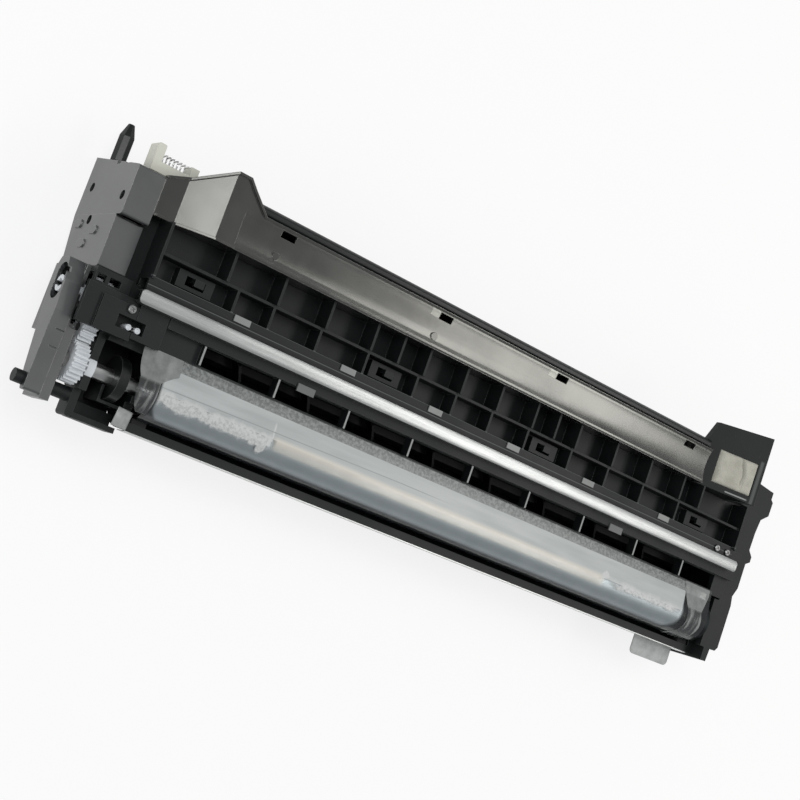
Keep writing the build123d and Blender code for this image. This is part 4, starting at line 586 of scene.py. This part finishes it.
finishes = {
    "blade_holder": ribbed_black, "channel_cover": channel_black, "connector_body": nylon_ivory,
    "connector_pins": tin, "cover_screws": zinc_screw, "developing_sleeve": sleeve_metal,
    "drive_coupling": pom_white, "drive_cover": end_grey, "gear_cover_front": end_grey,
    "gear_cover_rear": end_grey, "gear_top_plate": housing_black, "guide_pin": pin_black,
    "holder_clips": clip_grey, "idler_gear": pom_white, "inlet_cover": inlet_painted_highlights_black,
    "inlet_sponge": foam_cream, "ledge_pads": pad_grey, "left_bracket": housing_black,
    "left_side_frame": housing_black, "lip_strip": strip_steel, "locating_peg": housing_black,
    "lower_housing": housing_black, "magnet_core": ferrite, "mixing_auger": housing_black,
    "protective_film": tape_clear, "pull_tab": tab_frosted, "rear_rail": rounded_black,
    "regulating_blade": strip_steel, "right_end_cover": housing_black, "roller_bush": pom_white,
    "roller_gear": pom_white, "seal_pins": pom_white, "side_seal_left": felt_black,
    "side_seal_right": felt_black, "sleeve_flange_left": steel, "sleeve_flange_right": steel,
    "spacer_cover": housing_black, "spacer_wheel_left": pin_black, "spacer_wheel_right": pin_black,
    "stay_bar": bar_steel, "supply_auger": housing_black, "top_cover": ledge_painted_lines_black,
}
for name, node in nodes.items():
    node.data.materials.clear()
    node.data.materials.append(finishes[name])


# The film and its tapes, each a thin sheet over the holder's lip and the roller
HOLDER_LIP = (14.6, 38.55)
FILM_R = 10.62
TOUCH_DEG = 82.0
FLAT_RUN = math.hypot(HOLDER_LIP[0] - FILM_R * math.cos(math.radians(TOUCH_DEG)),
                      ROLLER_Z + FILM_R * math.sin(math.radians(TOUCH_DEG)) - HOLDER_LIP[1])
FILM_RUN = FLAT_RUN + FILM_R * math.radians(178.0 - TOUCH_DEG)


def on_film(x, run, lift):
    """A point lift millimetres above the film's line, run millimetres from the holder's lip."""
    touch = math.radians(TOUCH_DEG)
    start = Vector((0, HOLDER_LIP[0], HOLDER_LIP[1]))
    meet = Vector((0, FILM_R * math.cos(touch), ROLLER_Z + FILM_R * math.sin(touch)))
    if run < FLAT_RUN:
        flat = start.lerp(meet, run / FLAT_RUN)
        return place(x, flat.y + lift * math.cos(touch), flat.z + lift * math.sin(touch))
    angle = touch + (run - FLAT_RUN) / FILM_R
    return place(x, (FILM_R + lift) * math.cos(angle), ROLLER_Z + (FILM_R + lift) * math.sin(angle))


# How far the film's soft waves stand off its line in millimetres
WAVE = 0.06


def film_sheet(name, ends, runs, across, down, lift, material):
    """A sheet on the film's line; ends gives its left and right end at a share of its run."""
    mesh = bpy.data.meshes.new(name)
    points, faces = [], []
    length = runs[1] - runs[0]
    for j in range(down + 1):
        share = j / down
        run = runs[0] + length * share
        left, right = ends(share)
        for i in range(across + 1):
            x = left + (right - left) * i / across
            wave = shape_noise.noise(Vector((x / 9.0, run / 5.0, lift)))
            points.append(on_film(x, run, lift + WAVE * (wave + 0.6)))
    for j in range(down):
        for i in range(across):
            corner = j * (across + 1) + i
            faces.append((corner, corner + 1, corner + across + 2, corner + across + 1))
    mesh.from_pydata(points, [], faces)
    laid_out = mesh.uv_layers.new(name="laid_out")
    for loop in mesh.loops:
        j, i = divmod(loop.vertex_index, across + 1)
        share = j / down
        left, right = ends(share)
        x = left + (right - left) * i / across
        run = runs[0] + length * share
        laid_out.data[loop.index].uv = ((x + MAP_LENGTH / 2) / MAP_LENGTH, run / MAP_DEPTH)
    mesh.update()
    piece = bpy.data.objects.new(name, mesh)
    bpy.context.scene.collection.objects.link(piece)
    mesh.materials.append(material)
    for face in mesh.polygons:
        face.use_smooth = True
    widest = max(ends(s / 10)[1] - ends(s / 10)[0] for s in range(11))
    area = sum(ends((s + 0.5) / 20)[1] - ends((s + 0.5) / 20)[0] for s in range(20)) / 20 * length
    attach(piece, "housing")
    return piece


def film_ends(share):
    """The film's left end draws in towards its front, with a rounded corner."""
    corner = max(0.0, (share - 0.86) / 0.14)
    return -155.4 + 2.2 * share + 3.6 * corner ** 2, 150.0


def left_tape_ends(share):
    """The tape over the film's left end: broad over the lip, with a narrow clear tail round the roller."""
    broad = min(1.0, share / 0.45)
    tail = max(0.0, (share - 0.45) / 0.55)
    return -162.6 + 1.8 * broad ** 3 + 4.4 * tail ** 3, -146.2 - 6.2 * max(0.0, (broad - 0.6) / 0.4) ** 0.8


def right_tape_ends(share):
    """The tape over the right end, cut on a slant, with a clear tail drawn down to the tab."""
    broad = min(1.0, share / 0.38)
    tail = max(0.0, (share - 0.38) / 0.62)
    bow = 1.6 * math.sin(tail * math.pi)
    return (131.0 + 4.8 * broad ** 1.4 + bow - 5.0 * tail ** 3,
            148.4 - 3.0 * max(0.0, (broad - 0.25) / 0.75) + bow - 1.5 * tail ** 3)


sheet = film_sheet("film_wrap", film_ends, (0.0, FILM_RUN), 240, 60, 0.0, film_wrap)
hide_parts("protective_film")
film_sheet("film_tape_left", left_tape_ends, (0.1, 24.0), 24, 44, 0.2, film_tape)
film_sheet("film_tape_right", right_tape_ends, (0.0, 30.2), 26, 52, 0.2, film_tape)


# The folded end's corners, from its back left one round, in millimetres
FOLD_CORNERS = [(-161.6, -8.6, 34.35), (-155.2, -8.9, 33.2), (-154.9, -15.4, 31.2), (-162.2, -15.6, 34.3)]
FOLD_BULGE = 0.35
FOLD_WALL = 0.3


def new_piece(name, mesh, material):
    """An object of a finished bmesh, smooth and with its finish."""
    bmesh.ops.recalc_face_normals(mesh, faces=mesh.faces)
    data = bpy.data.meshes.new(name)
    mesh.to_mesh(data)
    mesh.free()
    piece = bpy.data.objects.new(name, data)
    bpy.context.scene.collection.objects.link(piece)
    data.materials.append(material)
    for face in data.polygons:
        face.use_smooth = True
    return piece


def folded_tape():
    """The tape's end at the left, folded back on itself over the front edge of the frame."""
    mesh = bmesh.new()
    steps = 12
    grid = {}
    for i in range(steps + 1):
        for j in range(steps + 1):
            u, v = i / steps, j / steps
            near = [a + (b - a) * u for a, b in zip(FOLD_CORNERS[0], FOLD_CORNERS[1])]
            far = [a + (b - a) * u for a, b in zip(FOLD_CORNERS[3], FOLD_CORNERS[2])]
            x, y, z = [a + (b - a) * v for a, b in zip(near, far)]
            grid[i, j] = mesh.verts.new(place(x, y, z + FOLD_BULGE * math.sin(u * math.pi) * (1 - 0.4 * v)))
    for i in range(steps):
        for j in range(steps):
            mesh.faces.new([grid[i, j], grid[i, j + 1], grid[i + 1, j + 1], grid[i + 1, j]])
    fold = new_piece("film_tape_fold", mesh, tab_frosted)
    wall = fold.modifiers.new("wall", "SOLIDIFY")
    wall.thickness = FOLD_WALL * MM
    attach(fold, "housing")


folded_tape()


def selected_only(piece):
    """Leaves one object selected and active."""
    bpy.ops.object.select_all(action="DESELECT")
    piece.select_set(True)
    bpy.context.view_layer.objects.active = piece


def shape_faces(piece, test):
    """Selects the faces of the piece in edit mode whose middle and normal pass the test."""
    mesh = bmesh.from_edit_mesh(piece.data)
    for face in mesh.faces:
        face.select_set(test(face.calc_center_median(), face.normal))
    bmesh.update_edit_mesh(piece.data)


def finished(piece, name, material, angle=35.0):
    """Applies the piece's place to its mesh, smooths it, gives it its finish and lets it ride."""
    selected_only(piece)
    bpy.ops.object.transform_apply(location=True, rotation=True, scale=True)
    bpy.ops.object.shade_smooth_by_angle(angle=math.radians(angle))
    piece.name = name
    piece.data.materials.clear()
    piece.data.materials.append(material)
    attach(piece, "housing")
    return piece


# Pan-head screws with a cross recess, on the same seats as the plain heads of the solids, in millimetres
HEAD_R = 1.6
HEAD_HEIGHT = 1.0
CHAMFER_WIDTH = 0.35
CHAMFER_DROP = 0.3
CROSS_LENGTH = 1.7
CROSS_WIDTH = 0.4
CROSS_TURN = 0.5


def pan_screw(name, x, y, z):
    """A screw head with a low chamfer round its top and a cross cut half way through it."""
    bpy.ops.object.select_all(action="DESELECT")
    bpy.ops.mesh.primitive_cylinder_add(vertices=32, radius=HEAD_R * MM, depth=HEAD_HEIGHT * MM,
                                        location=(0, 0, 0))
    head = bpy.context.object
    bpy.ops.object.mode_set(mode="EDIT")
    shape_faces(head, lambda middle, normal: normal.z > 0.9)
    bpy.ops.mesh.inset(thickness=CHAMFER_WIDTH * MM)
    bpy.ops.object.mode_set(mode="OBJECT")
    for vertex in head.data.vertices:
        if vertex.co.z > 0 and vertex.co.xy.length > (HEAD_R - CHAMFER_WIDTH / 2) * MM:
            vertex.co.z -= CHAMFER_DROP * MM
    for turn in (0.0, math.pi / 2):
        bpy.ops.object.select_all(action="DESELECT")
        bpy.ops.mesh.primitive_cube_add(size=1.0, location=(0, 0, HEAD_HEIGHT / 2 * MM),
                                        rotation=(0, 0, turn + CROSS_TURN))
        cutter = bpy.context.object
        cutter.scale = (CROSS_LENGTH * MM, CROSS_WIDTH * MM, HEAD_HEIGHT * MM)
        selected_only(cutter)
        bpy.ops.object.transform_apply(location=True, rotation=True, scale=True)
        selected_only(head)
        cut = head.modifiers.new("cross", "BOOLEAN")
        cut.object = cutter
        cut.operation = "DIFFERENCE"
        bpy.ops.object.modifier_apply(modifier="cross")
        bpy.data.objects.remove(cutter)
    head.location = place(x, y, z + HEAD_HEIGHT / 2)
    return finished(head, name, zinc_screw)


screws = [pan_screw("plate_screw", -173.0, 23.6, 41.0),
          pan_screw("bar_screw_inner", 138.5, 33.6, 43.5),
          pan_screw("bar_screw_outer", 145.8, 33.6, 43.5)]
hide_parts("cover_screws")


# Two white posts in the window of the spacer's cover, with a contact spring between them, in millimetres
POST_R = 1.1
POST_HEIGHT = 4.6
POST_Y = 17.4
POST_FOOT_Z = 36.0
POST_WALL = 0.3
CUP_DEPTH = 0.5
RIM_R = 0.18


def post(name, x):
    """A white post with a rounded rim and a shallow cup in its head."""
    bpy.ops.object.select_all(action="DESELECT")
    bpy.ops.mesh.primitive_cylinder_add(vertices=28, radius=POST_R * MM, depth=POST_HEIGHT * MM,
                                        location=(0, 0, 0))
    made = bpy.context.object
    bpy.ops.object.mode_set(mode="EDIT")
    shape_faces(made, lambda middle, normal: normal.z > 0.9)
    bpy.ops.mesh.inset(thickness=POST_WALL * MM)
    bpy.ops.mesh.extrude_region_move(TRANSFORM_OT_translate={"value": (0, 0, -CUP_DEPTH * MM)})
    bpy.ops.object.mode_set(mode="OBJECT")
    rim = made.modifiers.new("rim", "BEVEL")
    rim.width = RIM_R * MM
    rim.segments = 3
    rim.limit_method = "ANGLE"
    selected_only(made)
    bpy.ops.object.modifier_apply(modifier="rim")
    made.location = place(x, POST_Y, POST_FOOT_Z + POST_HEIGHT / 2)
    return finished(made, name, pom_white)


posts = [post("seal_post_outer", -171.6), post("seal_post_inner", -168.0)]
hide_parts("seal_pins")

# The spring: its wire is a small ring that the Screw modifier winds seven times round
WIRE_R = 0.16
COIL_R = 0.62
COIL_PITCH = 0.55
bpy.ops.object.select_all(action="DESELECT")
bpy.ops.mesh.primitive_circle_add(vertices=8, radius=WIRE_R * MM, fill_type="NOTHING",
                                  location=(COIL_R * MM, 0, 0), rotation=(math.pi / 2, 0, 0))
spring = bpy.context.object
selected_only(spring)
bpy.ops.object.transform_apply(location=True, rotation=True, scale=True)
coil = spring.modifiers.new("coil", "SCREW")
coil.angle = math.radians(360.0)
coil.screw_offset = COIL_PITCH * MM
coil.iterations = 7
coil.steps = coil.render_steps = 20
coil.use_merge_vertices = True
bpy.ops.object.modifier_apply(modifier="coil")
spring.location = place(-169.8, POST_Y, POST_FOOT_Z + 0.2)
finished(spring, "contact_spring", zinc_screw, angle=60.0)


# The foam pad on its sloped seat: left and right side, front, depth and the seat's rise, in millimetres
PAD_LEFT, PAD_RIGHT = 119.5, 139.5
PAD_FRONT = 60.2
PAD_DEPTH = 15.6
SEAT_RISE = 0.33
PAD_RIM = 0.7
PAD_CROWN = 1.8
CREASE_DEPTH = 2.1
SPONGE_SEAT_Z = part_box("inlet_sponge")[0][2] / MM


def sponge_pad():
    """The inlet's foam pad: a crowned slab on the sloped seat, pressed in by one crease across it."""
    steps = 44
    mesh = bmesh.new()
    rows = {}
    for side in (0, 1):
        for i in range(steps + 1):
            for j in range(steps + 1):
                u, v = i / steps, j / steps
                x = PAD_LEFT + (PAD_RIGHT - PAD_LEFT) * u
                y = PAD_FRONT + PAD_DEPTH * v
                edge = min(u, 1 - u, v * 0.78, (1 - v) * 0.78)
                crown = 1.0 - math.exp(-edge * 26.0)
                draw = 0.25 * (1 - crown)
                crease = math.exp(-((u - 0.66 + 0.1 * (v - 0.5) + 0.02 * math.sin(v * 9)) / 0.026) ** 2)
                crease = crease * (1.0 - 0.75 * math.exp(-(v / 0.35) ** 2))
                lump = shape_noise.noise(Vector((x / 5.0, y / 5.0, 0.0)))
                seat = SPONGE_SEAT_Z + SEAT_RISE * (x - PAD_LEFT)
                top = seat + PAD_RIM + crown * (PAD_CROWN - CREASE_DEPTH * crease + 0.2 * lump)
                z = seat + 0.05 if side == 0 else top
                toward = (-1 if u > 0.5 else 1) if edge in (u, 1 - u) else 0
                rows[side, i, j] = mesh.verts.new(place(x + draw * toward * side, y, z))
    for i in range(steps):
        for j in range(steps):
            a, b, c, d = (i, j), (i + 1, j), (i + 1, j + 1), (i, j + 1)
            mesh.faces.new([rows[(1, *p)] for p in (a, b, c, d)])
            mesh.faces.new([rows[(0, *p)] for p in (d, c, b, a)])
    rim = [(i, 0) for i in range(steps)] + [(steps, j) for j in range(steps)]
    rim += [(i, steps) for i in range(steps, 0, -1)] + [(0, j) for j in range(steps, 0, -1)]
    for here, after in zip(rim, rim[1:] + rim[:1]):
        mesh.faces.new([rows[(0, *here)], rows[(0, *after)], rows[(1, *after)], rows[(1, *here)]])
    pad = new_piece("inlet_foam_pad", mesh, foam_cream)
    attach(pad, "housing")
    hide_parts("inlet_sponge")


sponge_pad()

# Camera at the photograph's angle: its right, up and back directions, and its place in millimetres
camera_data = bpy.data.cameras.new("camera")
camera_data.lens = 67.5
camera_data.sensor_width = 36.0
camera = bpy.data.objects.new("camera", camera_data)
bpy.context.scene.collection.objects.link(camera)
right = Vector((0.7496, 0.3308, 0.5732))
up = Vector((-0.3486, 0.934, -0.0826))
back = Vector((-0.5622, -0.138, 0.8154))
turn = Matrix((right, up, back)).transposed()
camera.matrix_world = Matrix.Translation(place(-383.6, -46.4, 518.1)) @ turn.to_4x4()
bpy.context.scene.camera = camera


def lamp(name, where, target, width, depth, power, tint="#ffffff"):
    """A soft oblong lamp that looks at a point."""
    data = bpy.data.lights.new(name, "AREA")
    data.shape = "RECTANGLE"
    data.size = width
    data.size_y = depth
    data.energy = power
    data.color = colour(tint)[:3]
    made = bpy.data.objects.new(name, data)
    made.location = where
    made.rotation_euler = (Vector(target) - Vector(where)).to_track_quat("-Z", "Y").to_euler()
    bpy.context.scene.collection.objects.link(made)


# One soft box over the right end, which the glossy tops mirror, one high at the left, and a weak fill
lamp("softbox_right", (0.82, 0.28, 1.0), (0.82, 0.28, 0.0), 0.42, 1.3, 7.5, "#fffdf9")
lamp("softbox_left", (-0.5, 0.25, 1.05), (-0.1, 0.0, 0.0), 0.45, 0.6, 4.1)
lamp("fill", (-1.1, -0.5, 0.6), (-0.1, 0, 0), 0.6, 0.6, 3)

# Pale floor and world, white to the camera and in reflections, a plain grey dome as light
world = bpy.data.worlds.new("studio")
world.use_nodes = True
bpy.context.scene.world = world
tree = world.node_tree
tree.nodes.clear()
path = add(tree, "LightPath")
dome = add(tree, "Background", {"Color": colour("#e9ebec"), "Strength": 0.5})
white = add(tree, "Background", {"Color": (1, 1, 1, 1), "Strength": 1.0})
seen = add(tree, "MixShader", {0: path.outputs["Is Camera Ray"], 1: dome, 2: white})
add(tree, "OutputWorld", {"Surface": seen})

# Share of the floor's own light where the camera or a reflection sees it
GLOW = 0.8
bpy.ops.object.select_all(action="DESELECT")
bpy.ops.mesh.primitive_plane_add(size=6.0, location=(0, 0, -0.0002))
floor = bpy.context.object
floor.name = "floor"
paper = bpy.data.materials.new("white_paper")
paper.use_nodes = True
tree = paper.node_tree
tree.nodes.clear()
path = add(tree, "LightPath")
through = add(tree, "Math", {
    0: path.outputs["Is Transmission Ray"], 1: path.outputs["Is Glossy Ray"]}, operation="MAXIMUM")
seen = add(tree, "Math", {0: path.outputs["Is Camera Ray"], 1: through}, operation="MAXIMUM")
card = add(tree, "BsdfDiffuse", {"Color": colour("#f2f2f2")})
glow = add(tree, "Emission", {"Color": (1, 1, 1, 1), "Strength": 1.0})
share = add(tree, "Math", {0: seen, 1: GLOW}, operation="MULTIPLY")
mixed = add(tree, "MixShader", {0: share, 1: card, 2: glow})
add(tree, "OutputMaterial", {"Surface": mixed})
floor.data.materials.append(paper)

bpy.context.scene.view_settings.view_transform = "Standard"
